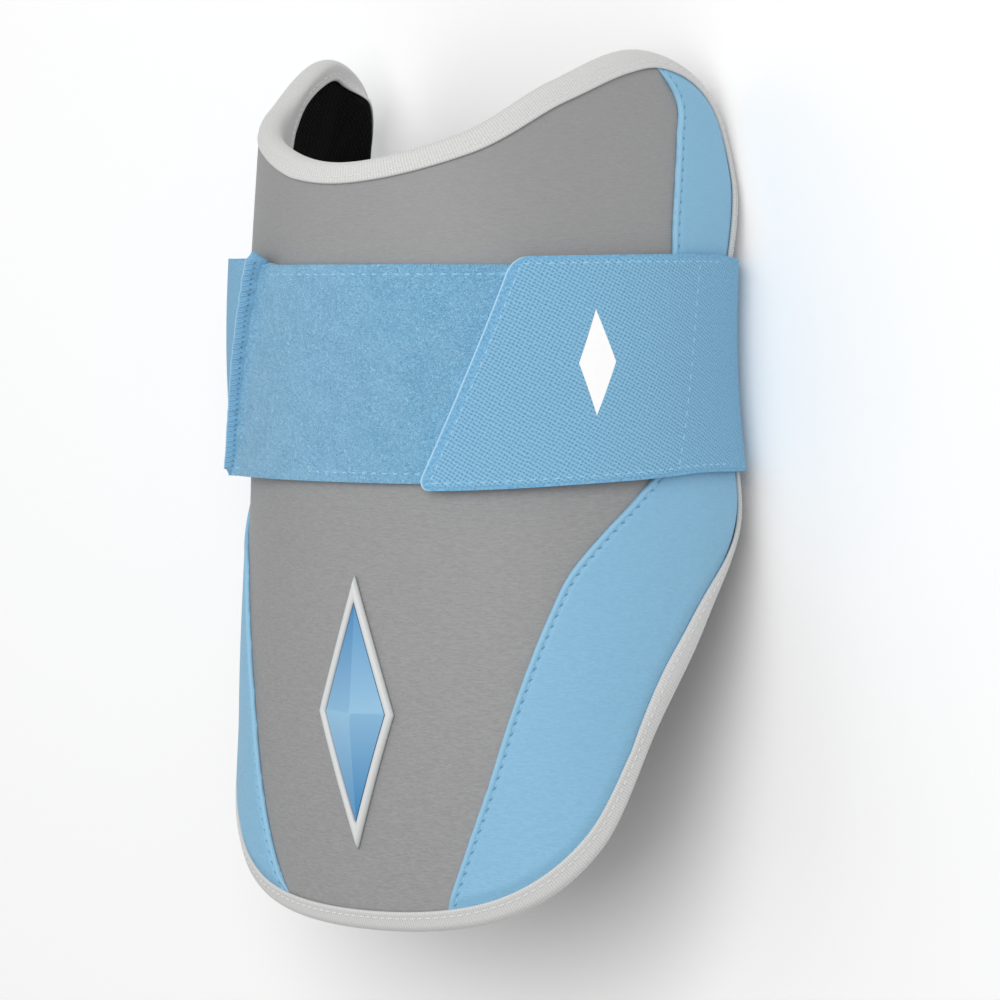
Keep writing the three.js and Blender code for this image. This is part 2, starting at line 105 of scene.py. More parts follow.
half = FLOOR["half_side"] * MM
level = -FLOOR["drop"] * MM
floor_mesh = bpy.data.meshes.new("floor")
floor_corners = [(-half, -half, level), (half, -half, level), (half, half, level), (-half, half, level)]
floor_mesh.from_pydata(floor_corners, [], [(0, 1, 2, 3)])
floor = bpy.data.objects.new("floor", floor_mesh)
scene.collection.objects.link(floor)
paint, _, shader = new_material("matt_white_floor_paint")
plug(shader, {"Base Color": linear(FLOOR["colour"]), "Roughness": 0.9, "Specular IOR Level": 0.1})
floor_mesh.materials.append(paint)

for lamp in LAMPS:
    light = bpy.data.lights.new(lamp["name"], "AREA")
    light.size = lamp["side"] * MM
    light.energy = lamp["watts"]
    lamp_object = bpy.data.objects.new(lamp["name"], light)
    place = Vector(lamp["place"]) * MM
    to_guard = Vector(CAMERA_AIM * MM) - place
    turned = to_guard.to_track_quat("-Z", "Y").to_matrix().to_4x4()
    lamp_object.matrix_world = Matrix.Translation(place) @ turned
    scene.collection.objects.link(lamp_object)

turn = np.radians(CAMERA["turn"])
rise = np.radians(CAMERA["rise"])
camera_back = np.array([np.cos(rise) * np.sin(turn), np.sin(rise), np.cos(rise) * np.cos(turn)])
camera_right = np.array([np.cos(turn), 0.0, -np.sin(turn)])
camera_up = np.cross(camera_back, camera_right)
camera_data = bpy.data.cameras.new("camera")
camera_data.sensor_width = SENSOR_WIDTH
camera_data.lens = SENSOR_WIDTH * CAMERA["pixels_per_mm"] * CAMERA["distance"] / PICTURE_WIDTH
camera_data.shift_x = CAMERA_SHIFT["x"]
camera_data.shift_y = CAMERA_SHIFT["y"]
camera_data.clip_end = 20.0
camera = bpy.data.objects.new("camera", camera_data)
camera_place = (CAMERA_AIM + CAMERA["distance"] * camera_back) * MM
camera_axes = np.column_stack([camera_right, camera_up, camera_back, camera_place])
camera.matrix_world = Matrix([*camera_axes.tolist(), [0, 0, 0, 1]])
scene.collection.objects.link(camera)
scene.camera = camera


# Padded shell: a trough of moulded foam with two ears and a tongue. Grey synthetic leather is stretched
# over its front and turned in at the edge, where the tape holds it.
SECTIONS = {
    "y": [-123, -62, 28, 119],
    "half_width": [82.4, 73.3, 72.5, 58],
    "half_depth": [56.5, 56.3, 70.1, 79.8],
    "height": [29.9, 32.7, 22.1, 22.1],
}
FLANK_NARROWING = 0.35
WAIST = {"depth": 6.8, "starts": 60, "full": 110, "middle": 34, "reach": 50}
EDGE = {
    "angle": [0, 32.5, 56.5, 80.3, 99.9, 106.7, 101, 105.4, 94.6, 76.5, 55.2, 31, 0],
    "y": [88, 95.3, 109.6, 118.8, 109.3, 86, 38.1, -9.3, -34.1, -60.9, -94.8, -113.4, -118.7],
}
LEFT_EAR = {
    "rows": [2, 3, 4, 5, 6],
    "angle": [58, 81, 94, 99.6, 98],
    "y": [105.5, 119.5, 111, 84.7, 38.1],
}
USUAL_DEGREE = 1.15
PAD = {"middle": 9.5, "edge": 2.6, "edge_inset": 1.5, "edge_drop": 1.2, "tape": 5.8}
FILLS_OUT_AT = {"front": 24, "rear": 7.4}
REAR = {"starts": 84, "full": 94}
SPINE = {"end_angle": 68, "y": 12, "from_edge": 80}
SHELL_STEPS_PER_ROW = 16
SHELL_INSETS = np.array([1.5, 2.2, 3.0, 4.0, 5.2, 6.6, 7.8, 9])
SHELL_SHARES = np.linspace(0, 1, 27)[1:]
GRAIN = {"wrinkle_length": 2.0, "wrinkle_spacing": 0.42, "pebble": 0.8, "pebble_share": 0.3, "patch": 45}
GRAIN_GROWS = {"from_y": 90, "to_y": -60, "from": 0.65, "to": 1.5}
GREY_LEATHER = {"dark": "8f8f8f", "light": "9b9b9b"}


def smoothstep(x, low, high):
    """Smooth rise from 0 at low to 1 at high."""
    s = np.clip((x - low) / (high - low), 0, 1)
    return s * s * (3 - 2 * s)


def lerp(a, b, share):
    """Straight mix of a and b."""
    return a + (b - a) * share


def slanted(line, share):
    """Angle of a slanted line at a share of its way from low to high."""
    return lerp(line["low"], line["high"], share)


def unit(vectors):
    """Vectors of length 1 in the same directions."""
    return vectors / np.linalg.norm(vectors, axis=-1, keepdims=True)


def xyz(x, y=0.0, z=0.0):
    """Points, or marks of points, from their three numbers."""
    return np.stack(np.broadcast_arrays(x, y, z), axis=-1)


def column(table, along, key, x):
    """Smooth value of a table's column at x: a cubic through the rows, whose slope at an inner row is the
    harmonic mean of the slopes beside it, and level where those differ in sign."""
    places = np.array(table[along], float)
    values = np.array(table[key], float)
    slopes = np.diff(values) / np.diff(places)
    product = slopes[:-1] * slopes[1:]
    total = np.where(product > 0, slopes[:-1] + slopes[1:], 1)
    inner = np.where(product > 0, 2 * product / total, 0)
    slopes = np.concatenate([slopes[:1], inner, slopes[-1:]])
    x = np.clip(x, places[0], places[-1])
    i = np.clip(np.searchsorted(places, x) - 1, 0, len(places) - 2)
    span = places[i + 1] - places[i]
    s = (x - places[i]) / span
    ends = values[i] * (1 + 2 * s) * (1 - s) ** 2 + values[i + 1] * (3 - 2 * s) * s**2
    return ends + span * (slopes[i] * s * (1 - s) ** 2 + slopes[i + 1] * (s - 1) * s**2)


def on_trough(angle, y, offset):
    """Point of the trough: an oval of the section's half width and depth, straighter behind its widest
    place and drawn in at the waist, then moved out along the oval's normal by offset."""
    angle, y, offset = np.broadcast_arrays(angle, y, offset)
    half_width = column(SECTIONS, "y", "half_width", y)
    half_depth = column(SECTIONS, "y", "half_depth", y)
    height = column(SECTIONS, "y", "height", y)
    side = np.sign(angle)
    oval = np.sin(np.radians(angle))
    flank = side * (1 - FLANK_NARROWING * (1 - np.abs(oval)))
    sine = np.where(np.abs(angle) > 90, flank, oval)
    cosine = np.cos(np.radians(angle))
    across = sine / half_width
    out = cosine / half_depth
    size = np.hypot(across, out)
    reach = np.maximum(0, 1 - ((y - WAIST["middle"]) / WAIST["reach"]) ** 2)
    waist = WAIST["depth"] * reach**2 * smoothstep(np.abs(angle), WAIST["starts"], WAIST["full"])
    x = half_width * sine - side * waist + offset * across / size
    z = height + half_depth * cosine + offset * out / size
    return xyz(x, y, z)


def two_faces(angle, y, outer, inner):
    """Grid of a solid on the trough: its outer face from the middle to the edge, then its inner face."""
    return np.concatenate([on_trough(angle, y, outer)[::-1], on_trough(angle, y, inner)])


def degree_length(angle, y):
    """Millimetres of the trough's surface for one degree round the section."""
    half_width = column(SECTIONS, "y", "half_width", y)
    half_depth = column(SECTIONS, "y", "half_depth", y)
    turn = np.radians(angle)
    return np.radians(np.hypot(half_width * np.cos(turn), half_depth * np.sin(turn)))


def smooth_curve(points, row, closed=False):
    """Centripetal Catmull-Rom curve through points at a row number, and its direction there."""
    points = np.asarray(points, float)
    if closed:
        row = np.mod(row, len(points))
        chain = np.concatenate([points[-1:], points, points[:2]])
    else:
        chain = np.concatenate([2 * points[:1] - points[1:2], points, 2 * points[-1:] - points[-2:-1]])
    i = np.clip(np.floor(row).astype(int), 0, len(chain) - 4)
    s = (row - i)[..., None]
    p = [chain[i + k] for k in range(4)]
    d = [np.sqrt(np.linalg.norm(p[k + 1] - p[k], axis=-1))[..., None] for k in range(3)]
    start = (p[1] - p[0]) / d[0] - (p[2] - p[0]) / (d[0] + d[1]) + (p[2] - p[1]) / d[1]
    end = (p[2] - p[1]) / d[1] - (p[3] - p[1]) / (d[1] + d[2]) + (p[3] - p[2]) / d[2]
    start = start * d[1]
    end = end * d[1]
    square = 3 * (p[2] - p[1]) - 2 * start - end
    cube = 2 * (p[1] - p[2]) + start + end
    return p[1] + start * s + square * s**2 + cube * s**3, start + 2 * square * s + 3 * cube * s**2


edge_right = np.column_stack([EDGE["angle"], EDGE["y"]])
edge_left = edge_right * [-1, 1]
edge_left[LEFT_EAR["rows"]] = np.column_stack([LEFT_EAR["angle"], LEFT_EAR["y"]]) * [-1, 1]
EDGE_LOOP = np.concatenate([edge_right, edge_left[-2:0:-1]]) * [USUAL_DEGREE, 1]
EDGE_ROWS = len(EDGE_LOOP)


def in_from_edge(row, inset):
    """Angle and y on the trough at a row number of the edge, moved in from the edge by inset."""
    row, inset = np.broadcast_arrays(np.asarray(row, float), np.asarray(inset, float))
    point, along = smooth_curve(EDGE_LOOP, row, closed=True)
    angle = point[..., 0] / USUAL_DEGREE
    y = point[..., 1]
    scale = degree_length(angle, y)
    inward = unit(np.stack([along[..., 1], -along[..., 0] * scale / USUAL_DEGREE], axis=-1))
    return angle + inset * inward[..., 0] / scale, y + inset * inward[..., 1]


def rear_share(row):
    """How far the edge is the rear edge of a flank: 0 along the front and 1 where the flank ends."""
    point, _ = smooth_curve(EDGE_LOOP, np.asarray(row, float), closed=True)
    return smoothstep(np.abs(point[..., 0]) / USUAL_DEGREE, REAR["starts"], REAR["full"])


def trough_rings(insets):
    """Angle, y, inset and rear share of rings that follow the edge: by inset at first, then by share of the
    way to the spine, a line across the section that the rings close on."""
    rows = np.arange(EDGE_ROWS * SHELL_STEPS_PER_ROW) / SHELL_STEPS_PER_ROW
    near_angle, near_y = in_from_edge(rows[None, :], insets[:, None])
    quarter = EDGE_ROWS / 4
    from_middle = quarter - np.abs(np.mod(rows, 2 * quarter) - quarter)
    side = np.where(rows <= 2 * quarter, 1, -1)
    spine_angle = side * SPINE["end_angle"] * from_middle / quarter
    far_angle = lerp(near_angle[-1], spine_angle, SHELL_SHARES[:, None])
    far_y = lerp(near_y[-1], SPINE["y"], SHELL_SHARES[:, None])
    inset = np.concatenate([insets, lerp(insets[-1], SPINE["from_edge"], SHELL_SHARES)])[:, None]
    angle = np.concatenate([near_angle, far_angle])
    return angle, np.concatenate([near_y, far_y]), inset, rear_share(rows)[None, :]


def pad_outer(inset):
    """Front of the padding: it drops where the tape goes over it."""
    return -PAD["edge_drop"] * (1 - smoothstep(inset, PAD["edge_inset"], PAD["tape"]))


def pad_inner(inset, rear):
    """Back of the padding: thin at the edge and full further in, sooner along the rear edges."""
    thin = PAD["edge"] + PAD["edge_drop"]
    fills_out_at = lerp(FILLS_OUT_AT["front"], FILLS_OUT_AT["rear"], rear)
    return -lerp(thin, PAD["middle"], smoothstep(inset, PAD["edge_inset"], fills_out_at))


def grid_faces(rows, columns, round_rows=False, round_columns=False):
    """Quads of a grid of points stored row by row, joined end to end where it is round."""
    r = np.arange(rows if round_rows else rows - 1)[:, None]
    c = np.arange(columns if round_columns else columns - 1)[None, :]
    next_r = (r + 1) % rows
    next_c = (c + 1) % columns
    corners = [r * columns + c, r * columns + next_c, next_r * columns + next_c, next_r * columns + c]
    return np.stack(np.broadcast_arrays(*corners), axis=-1).reshape(-1, 4)


def new_piece(name, points, faces, material, slot, marks=None, closed=True):
    """Piece at the origin from points in millimetres. Points that fall together become one, and a closed
    piece has its faces turned out. marks gives three numbers for each point, which a material reads."""
    points = np.reshape(points, (-1, 3))
    mesh = bpy.data.meshes.new(name)
    mesh.from_pydata((points * MM).tolist(), [], faces.tolist())
    if marks is not None:
        attribute = mesh.attributes.new("marks", "FLOAT_VECTOR", "POINT")
        attribute.data.foreach_set("vector", np.reshape(marks, -1).astype(np.float32))
    work = bmesh.new()
    work.from_mesh(mesh)
    bmesh.ops.remove_doubles(work, verts=work.verts, dist=2e-6)
    bmesh.ops.dissolve_degenerate(work, edges=work.edges, dist=1e-7)
    if closed:
        bmesh.ops.recalc_face_normals(work, faces=work.faces)
    work.to_mesh(mesh)
    work.free()
    mesh.shade_smooth()
    mesh.materials.append(material)
    piece = bpy.data.objects.new(name, mesh)
    scene.collection.objects.link(piece)
    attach(piece, "root")
    return piece


def grid_piece(name, points, material, slot, round_rows=False, round_columns=True, **rest):
    """Piece whose points are a grid, joined end to end where it is round."""
    faces = grid_faces(*points.shape[:2], round_rows, round_columns)
    return new_piece(name, points, faces, material, slot, **rest)


def leather(name, dark, light):
    """Embossed polyurethane leather: satin, with fine wrinkles that run round the arm and a faint pebble.
    The wrinkles grow from the ears to the tongue, and in broad patches they are weaker."""
    material, tree, shader = new_material(name)
    place = node(tree, "TexCoord")["Object"]
    around = 1 / (GRAIN["wrinkle_length"] * MM)
    along = 1 / (GRAIN["wrinkle_spacing"] * MM)
    stretched = node(tree, "Mapping", {"Vector": place, "Scale": (around, along, around)})[0]
    lines = {"Vector": stretched, "Scale": 1, "Detail": 2, "Roughness": 0.6, "Distortion": 1.0}
    wrinkle = node(tree, "TexNoise", lines)["Fac"]
    pebble = node(tree, "TexVoronoi", {"Vector": place, "Scale": 1 / (GRAIN["pebble"] * MM)})["Distance"]
    broad = {"Vector": place, "Scale": 1 / (GRAIN["patch"] * MM), "Detail": 1}
    patch = node(tree, "TexNoise", broad)["Fac"]
    weaker = {"Value": patch, "From Min": 0.35, "From Max": 0.65, "To Min": 0.25, "To Max": 1}
    amount = node(tree, "MapRange", weaker)[0]
    station = node(tree, "SeparateXYZ", {0: place})[1]
    stations = {"From Min": GRAIN_GROWS["from_y"] * MM, "From Max": GRAIN_GROWS["to_y"] * MM}
    sizes = {"To Min": GRAIN_GROWS["from"], "To Max": GRAIN_GROWS["to"]}
    growth = node(tree, "MapRange", {"Value": station, **stations, **sizes})[0]
    centred = node(tree, "Math", {0: wrinkle, 1: 0.5}, operation="SUBTRACT")[0]
    swing = node(tree, "Math", {0: centred, 1: growth}, operation="MULTIPLY")[0]
    creases = node(tree, "Math", {0: swing, 1: amount}, operation="MULTIPLY")[0]
    grain = {0: pebble, 1: GRAIN["pebble_share"], 2: creases}
    height = node(tree, "Math", grain, operation="MULTIPLY_ADD")[0]
    bump = node(tree, "Bump", {"Height": height, "Strength": 0.5, "Distance": 0.12 * MM})[0]
    tint = node(tree, "MapRange", {"Value": swing, "From Min": -0.2, "From Max": 0.2})[0]
    colour = node(tree, "Mix", {0: tint, A: linear(dark), B: linear(light)}, data_type="RGBA")[MIXED]
    plug(shader, {"Base Color": colour, "Normal": bump})
    plug(shader, {"Roughness": 0.55, "IOR": 1.48, "Specular IOR Level": 0.35})
    return material


grey_leather = leather("grey_polyurethane_leather", **GREY_LEATHER)
angle, y, inset, rear = trough_rings(SHELL_INSETS)
shell_points = two_faces(angle, y, pad_outer(inset), pad_inner(inset, rear))
padded_shell = grid_piece("padded_shell_leather", shell_points, grey_leather, "front_leather")
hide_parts("padded_shell")


# Lining: a black knitted mesh glued over the whole inside of the padding. It is the face that lies on
# the arm, and its rim goes under the tape.
LINING = {"thickness": 1.5, "gap": 0.5, "colour": "030303", "stitch": "0a0a0c"}
LINING_INSETS = np.array([1.5, 2.3, 3.2, 4.4, 5.8, 7.4, 9])
KNIT = {"wale": 1.7, "course": 2.3}


def lining_outer(inset, rear):
    """Face of the lining on the padding."""
    return pad_inner(inset, rear) - LINING["gap"]


def lining_inner(inset, rear):
    """Face of the lining on the arm."""
    return lining_outer(inset, rear) - LINING["thickness"]


# A knitted mesh: dull loops in rows with a small hole between them, so it is dark with fine dots.
knit, tree, shader = new_material("black_knitted_polyester")
marks = node(tree, "Attribute", attribute_name="marks")["Vector"]
knit_scale = (2 * np.pi / KNIT["wale"], 2 * np.pi / KNIT["course"], 0)
phase = node(tree, "Mapping", {"Vector": marks, "Scale": knit_scale})[0]
waves = node(tree, "VectorMath", {0: phase}, operation="SINE")[0]
wales, courses, _ = node(tree, "SeparateXYZ", {0: waves})
height = node(tree, "Math", {0: wales, 1: courses}, operation="MULTIPLY")[0]
share = node(tree, "MapRange", {"Value": height, "From Min": 0.2, "From Max": 1})[0]
shades = {0: share, A: linear(LINING["colour"]), B: linear(LINING["stitch"])}
colour = node(tree, "Mix", shades, data_type="RGBA")[MIXED]
bump = node(tree, "Bump", {"Height": height, "Strength": 0.6, "Distance": 0.25 * MM})[0]
plug(shader, {"Base Color": colour, "Normal": bump, "Roughness": 0.95, "Specular IOR Level": 0.12})

angle, y, inset, rear = trough_rings(LINING_INSETS)
lining_points = two_faces(angle, y, lining_outer(inset, rear), lining_inner(inset, rear))
lining_marks = xyz(angle * USUAL_DEGREE, y)
lining_marks = np.concatenate([lining_marks[::-1], lining_marks])
lining = grid_piece("knitted_lining", lining_points, knit, "knit_lining", marks=lining_marks)
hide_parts("lining")


# Edge tape: a pale grey ribbed tape folded over the edge of leather and lining, all the way round, and
# sewn through with one row of lock stitch near its inner edge.
TAPE = {"gap": 0.3, "rear_inner": 3.0, "sewn_at": 3.9, "starts_at_row": 18}
GROSGRAIN = {"rib": 0.75, "rib_share": 0.3, "speckle": 0.6}
# Extra width of the tape's two legs by row of the edge: narrow on the ears' front, wide inside their front
# corner and where both flanks run in to the tongue.
TAPE_WIDER = {
    "row": [0.6, 1.5, 2.3, 2.7, 3.2, 3.8, 4.3, 4.8, 5.3, 6.4, 6.9, 7.4, 8.2, 8.5, 9.3],
    "front": [0, 0, 0, 0, -1.2, -2.2, -2.3, -1.4, 0, -1.2, -1.9, -0.2, 3.4, 3.3, 0],
    "back": [0, 3.2, 0.6, 0, 0, 0, 0, 0, 0, 0, 0, 0, 0, 0, 0],
}
# Further width on the left ear alone: narrower in front, and wider inside it.
TAPE_LEFT_EAR = {
    "row": [19, 19.6, 20, 20.4, 20.7, 21, 21.3, 21.7, 22, 22.3, 22.6, 23, 23.6],
    "front": [0, 0, 0, 0, 0, 0, 0, 0, -0.5, -1.8, -2.4, -1.9, 0],
    "back": [0, 2.2, 2.8, 2.3, 1.2, 0.3, 0, -0.9, 0.5, 2.4, 2.6, 1.7, 0],
}
TAPE_STEPS_PER_ROW = 30
TAPE_PROFILE_STEPS = 3
TAPE_COLOURS = {"groove": "c7c7c6", "rib": "d9d9d8", "thread": "dededd"}
THREAD_TWIST = 0.25
BEAD = {"stations": 6, "sides": 8, "blunt": 0.6, "aim": 0.3}
# Points of the dense lines that stitches lie on and that distances are taken from.
LINE_POINTS = {"tape": 2401, "edge": 1201, "panel_seam": 1001, "strap_end": 200, "strap_hem": 300}
TAPE_STITCH = {"length": 1.7, "pitch": 2.4, "width": 0.42, "height": 0.3, "lift": 1.12, "stands": 0.03}
# Shares of a leg's width from its inner edge to the fold, and the height of its top over the cloth.
LEG_SHARES = np.array([1, 0.985, 0.91, 0.7, 0.46, 0.24, 0.07])
LEG_LIFTS = np.array([0.3, 0.8, 1.15, 1.08, 1.2, 0.95, -0.2])
LEG_INSIDE = np.array([0.97, 0.6, 0.21])


def tape_wider(row, leg):
    """Extra width of one leg of the tape at a row of the edge: what both sides have, and the left ear's."""
    row = np.mod(row, EDGE_ROWS)
    from_front = EDGE_ROWS / 2 - np.abs(row - EDGE_ROWS / 2)
    return column(TAPE_WIDER, "row", leg, from_front) + column(TAPE_LEFT_EAR, "row", leg, row)


def tape_section(rear, front_extra=0.0, back_extra=0.0):
    """Inset and offset round the tape: the front leg from its inner edge to the fold, the back leg out to
    its inner edge, and the inside of the fold on the way back."""
    back_width = lerp(PAD["tape"], TAPE["rear_inner"], rear) + back_extra
    front_width = PAD["tape"] + front_extra
    front = LEG_SHARES * front_width
    back = LEG_SHARES[::-1] * back_width
    front_cloth = pad_outer(front)
    back_cloth = lining_inner(back, rear)
    fold = (front_cloth[-1] + back_cloth[0]) / 2
    insets = np.concatenate([front, [0], back])
    offsets = np.concatenate([front_cloth + LEG_LIFTS, [fold], back_cloth - LEG_LIFTS[::-1]])
    steps = np.arange((len(insets) - 1) * TAPE_PROFILE_STEPS + 1) / TAPE_PROFILE_STEPS
    outside, _ = smooth_curve(np.column_stack([insets, offsets]), steps)
    inside_back = LEG_INSIDE * back_width
    inside_front = LEG_INSIDE[::-1] * front_width
    under_back = np.column_stack([inside_back, lining_inner(inside_back, rear) - TAPE["gap"]])
    under_front = np.column_stack([inside_front, pad_outer(inside_front) + TAPE["gap"]])
    return np.concatenate([outside, under_back, under_front])


def row_distances(points):
    """Running length along each column of a grid of points, or along one chain of them, from zero."""
    steps = np.linalg.norm(np.diff(points, axis=0), axis=-1)
    return np.concatenate([np.zeros_like(steps[:1]), np.cumsum(steps, axis=0)])


# Grosgrain: a dull woven tape with raised ribs across it, so light catches it in fine lines.
tape_cloth, tree, shader = new_material("grey_grosgrain_polyester")
marks = node(tree, "Attribute", attribute_name="marks")["Vector"]
along = node(tree, "SeparateXYZ", {0: marks})[0]
phase = node(tree, "Math", {0: along, 1: 2 * np.pi / GROSGRAIN["rib"]}, operation="MULTIPLY")[0]
ribs = node(tree, "Math", {0: phase}, operation="SINE")[0]
speckle = node(tree, "TexNoise", {"Vector": marks, "Scale": 1 / GROSGRAIN["speckle"], "Detail": 2})["Fac"]
ribbed = {0: ribs, 1: GROSGRAIN["rib_share"], 2: speckle}
height = node(tree, "Math", ribbed, operation="MULTIPLY_ADD")[0]
share = node(tree, "MapRange", {"Value": height, "From Min": 0.15, "From Max": 0.85})[0]
shades = {0: share, A: linear(TAPE_COLOURS["groove"]), B: linear(TAPE_COLOURS["rib"])}
colour = node(tree, "Mix", shades, data_type="RGBA")[MIXED]
bump = node(tree, "Bump", {"Height": height, "Strength": 0.5, "Distance": 0.12 * MM})[0]
plug(shader, {"Base Color": colour, "Normal": bump})
plug(shader, {"Roughness": 0.85, "Specular IOR Level": 0.2, "Sheen Weight": 0.15})

# The tape's two ends meet on the left flank's rear edge, under the strap.
tape_rows = TAPE["starts_at_row"] + np.arange(EDGE_ROWS * TAPE_STEPS_PER_ROW) / TAPE_STEPS_PER_ROW
row_sizes = zip(rear_share(tape_rows), tape_wider(tape_rows, "front"), tape_wider(tape_rows, "back"))
tape_chain = np.stack([tape_section(*sizes) for sizes in row_sizes])
angle, y = in_from_edge(tape_rows[:, None], tape_chain[..., 0])
tape_points = on_trough(angle, y, tape_chain[..., 1])
fold_line = tape_points[:, len(LEG_SHARES) * TAPE_PROFILE_STEPS]
tape_length = row_distances(np.concatenate([fold_line, fold_line[:1]]))
tape_marks = xyz(tape_length[:-1, None], row_distances(tape_section(0.0)))
edge_tape = grid_piece(
    "grosgrain_edge_tape", tape_points, tape_cloth, "edge_tape", round_rows=True, marks=tape_marks
)
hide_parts("edge_tape")


def thread(name, colour):
    """Spun polyester sewing thread: dull, with the fine slanted lines of its twist."""
    material, tree, shader = new_material(name)
    place = node(tree, "TexCoord")["Object"]
    twist = node(tree, "TexNoise", {"Vector": place, "Scale": 1 / (THREAD_TWIST * MM), "Detail": 1})["Fac"]
    bump = node(tree, "Bump", {"Height": twist, "Strength": 0.4, "Distance": 0.05 * MM})[0]
    plug(shader, {"Base Color": linear(colour), "Normal": bump})
    plug(shader, {"Roughness": 0.75, "Specular IOR Level": 0.25})
    return material


def beads(middles, along, outward, size):
    """Points and faces of short rounded threads: an oval grid for each middle, long side along the row."""
    station = np.linspace(0, np.pi, BEAD["stations"])[:, None]
    round_it = np.linspace(0, 2 * np.pi, BEAD["sides"], endpoint=False)[None, :]
    swell = np.sin(station) ** BEAD["blunt"]
    oval = xyz(-np.cos(station), swell * np.cos(round_it), swell * np.sin(round_it)).reshape(-1, 3)
    oval = oval * [size["length"], size["width"], size["height"]] / 2
    points = middles[:, None, :] + oval @ np.stack([along, np.cross(outward, along), outward], axis=1)
    one = grid_faces(BEAD["stations"], BEAD["sides"], round_columns=True)
    faces = one[None, :, :] + (np.arange(len(middles)) * len(oval))[:, None, None]
    return points.reshape(-1, 3), faces.reshape(-1, 4)


def stitch_run(angle, y, offset, size, sink=0.0):
    """Beads at an even pitch along a dense line of places on the trough, sunk a little into the cloth."""
    line = on_trough(angle, y, offset)
    outward = on_trough(angle, y, np.asarray(offset) + 1) - line
    length = row_distances(line)
    count = max(1, int(length[-1] / size["pitch"]))
    at = (np.arange(count) + 0.5) * length[-1] / count

    def at_lengths(values, lengths):
        return np.column_stack([np.interp(lengths, length, values[:, k]) for k in range(3)])

    middles = at_lengths(line, at)
    along = unit(at_lengths(line, at + BEAD["aim"]) - at_lengths(line, at - BEAD["aim"]))
    up = at_lengths(outward, at)
    up = unit(up - (up * along).sum(1, keepdims=True) * along)
    return beads(middles - sink * up, along, up, size)


def joined(runs):
    """Points and faces of several runs put together."""
    starts = np.cumsum([0] + [len(points) for points, _ in runs[:-1]])
    points = np.concatenate([points for points, _ in runs])
    faces = np.concatenate([faces + start for (_, faces), start in zip(runs, starts)])
    return points, faces


pale_thread = thread("pale_grey_polyester_thread", TAPE_COLOURS["thread"])
dense_rows = np.linspace(0, EDGE_ROWS, LINE_POINTS["tape"])
dense_rear = rear_share(dense_rows)
back_sewn_at = TAPE["sewn_at"] * lerp(1, TAPE["rear_inner"] / PAD["tape"], dense_rear)
back_sewn_at = back_sewn_at + tape_wider(dense_rows, "back")
front_sewn_at = TAPE["sewn_at"] + tape_wider(dense_rows, "front")
front_angle, front_y = in_from_edge(dense_rows, front_sewn_at)
back_angle, back_y = in_from_edge(dense_rows, back_sewn_at)
front_offset = pad_outer(front_sewn_at) + TAPE_STITCH["lift"]
back_offset = lining_inner(back_sewn_at, dense_rear) - TAPE_STITCH["lift"]
tape_runs = [
    stitch_run(front_angle, front_y, front_offset, TAPE_STITCH, sink=-TAPE_STITCH["stands"]),
    stitch_run(back_angle, back_y, back_offset, TAPE_STITCH, sink=TAPE_STITCH["stands"]),
]
tape_stitches = new_piece("tape_stitches", *joined(tape_runs), pale_thread, "edge_tape")


# Side panels: light blue synthetic leather on both flanks, from the ear down to the tongue. The front
# edge is turned under, so it stands proud as a soft lip, and is sewn down with lock stitch.
PANEL = {"top": 1.2, "lip": 0.1, "sewn_at": 1.9, "groove": 0.35, "under_tape": 1.4, "over": 0.12, "on": 0.03}
PANEL_SEAM = {
    "right": [87.2, 85.1, 80, 76, 70, 65.4, 56.6, 49.2, 44.9, 38, 31.9, 24.4, 20],
    "left": [86.2, 84.1, 79, 74.5, 71.5, 68.5, 60, 49.4, 46, 40.2, 35.2, 27.8, 21.5],
    "y": [104.5, 94.4, 72.8, 40, 6, -0.4, -10.8, -21.3, -31.9, -53.1, -74.4, -96, -109.4],
}
PANEL_LIP = {"at": 0.9, "reach": 0.75, "turn": 0.45, "groove_reach": 0.5}
PANEL_FALL = {"low": 5.2, "full": 9.2}
PANEL_EDGE_ROWS = {"from": 3.1, "to": 11.37}
PANEL_STEPS = {"along": 260, "across": 28, "closer": 1.6}
PANEL_NEAR = np.array([0, 0.12, 0.3, 0.55, 0.85, 1.15, 1.45, *np.arange(1.7, 3, 0.2), 3.2, 3.7, 4.5])
PANEL_STITCH = {"length": 1.5, "pitch": 3.05, "width": 0.5, "height": 0.4}
# Shape of the slanted dark dash at each stitch: painted shade where the thread sinks into the leather.
PANEL_STITCH_SHADE = {"half_length": 0.62, "half_width": 0.3, "slant": 0.5}
PANEL_COLOURS = {"stitch_shade": "5f94b3", "lip": "98c6e1", "thread": "98c7e2"}
BLUE_LEATHER = {"dark": "82b5d3", "light": "8bbddb"}


def nearest(places, line):
    """Distance from each place to the nearest point of a dense line, and the number of that point."""
    flat = places.reshape(-1, 3)
    square = (flat**2).sum(1)[:, None] + (line**2).sum(1)[None, :] - 2 * flat @ line.T
    number = square.argmin(1)
    away = np.sqrt(np.maximum(square[np.arange(len(flat)), number], 0))
    return away.reshape(places.shape[:-1]), number.reshape(places.shape[:-1])


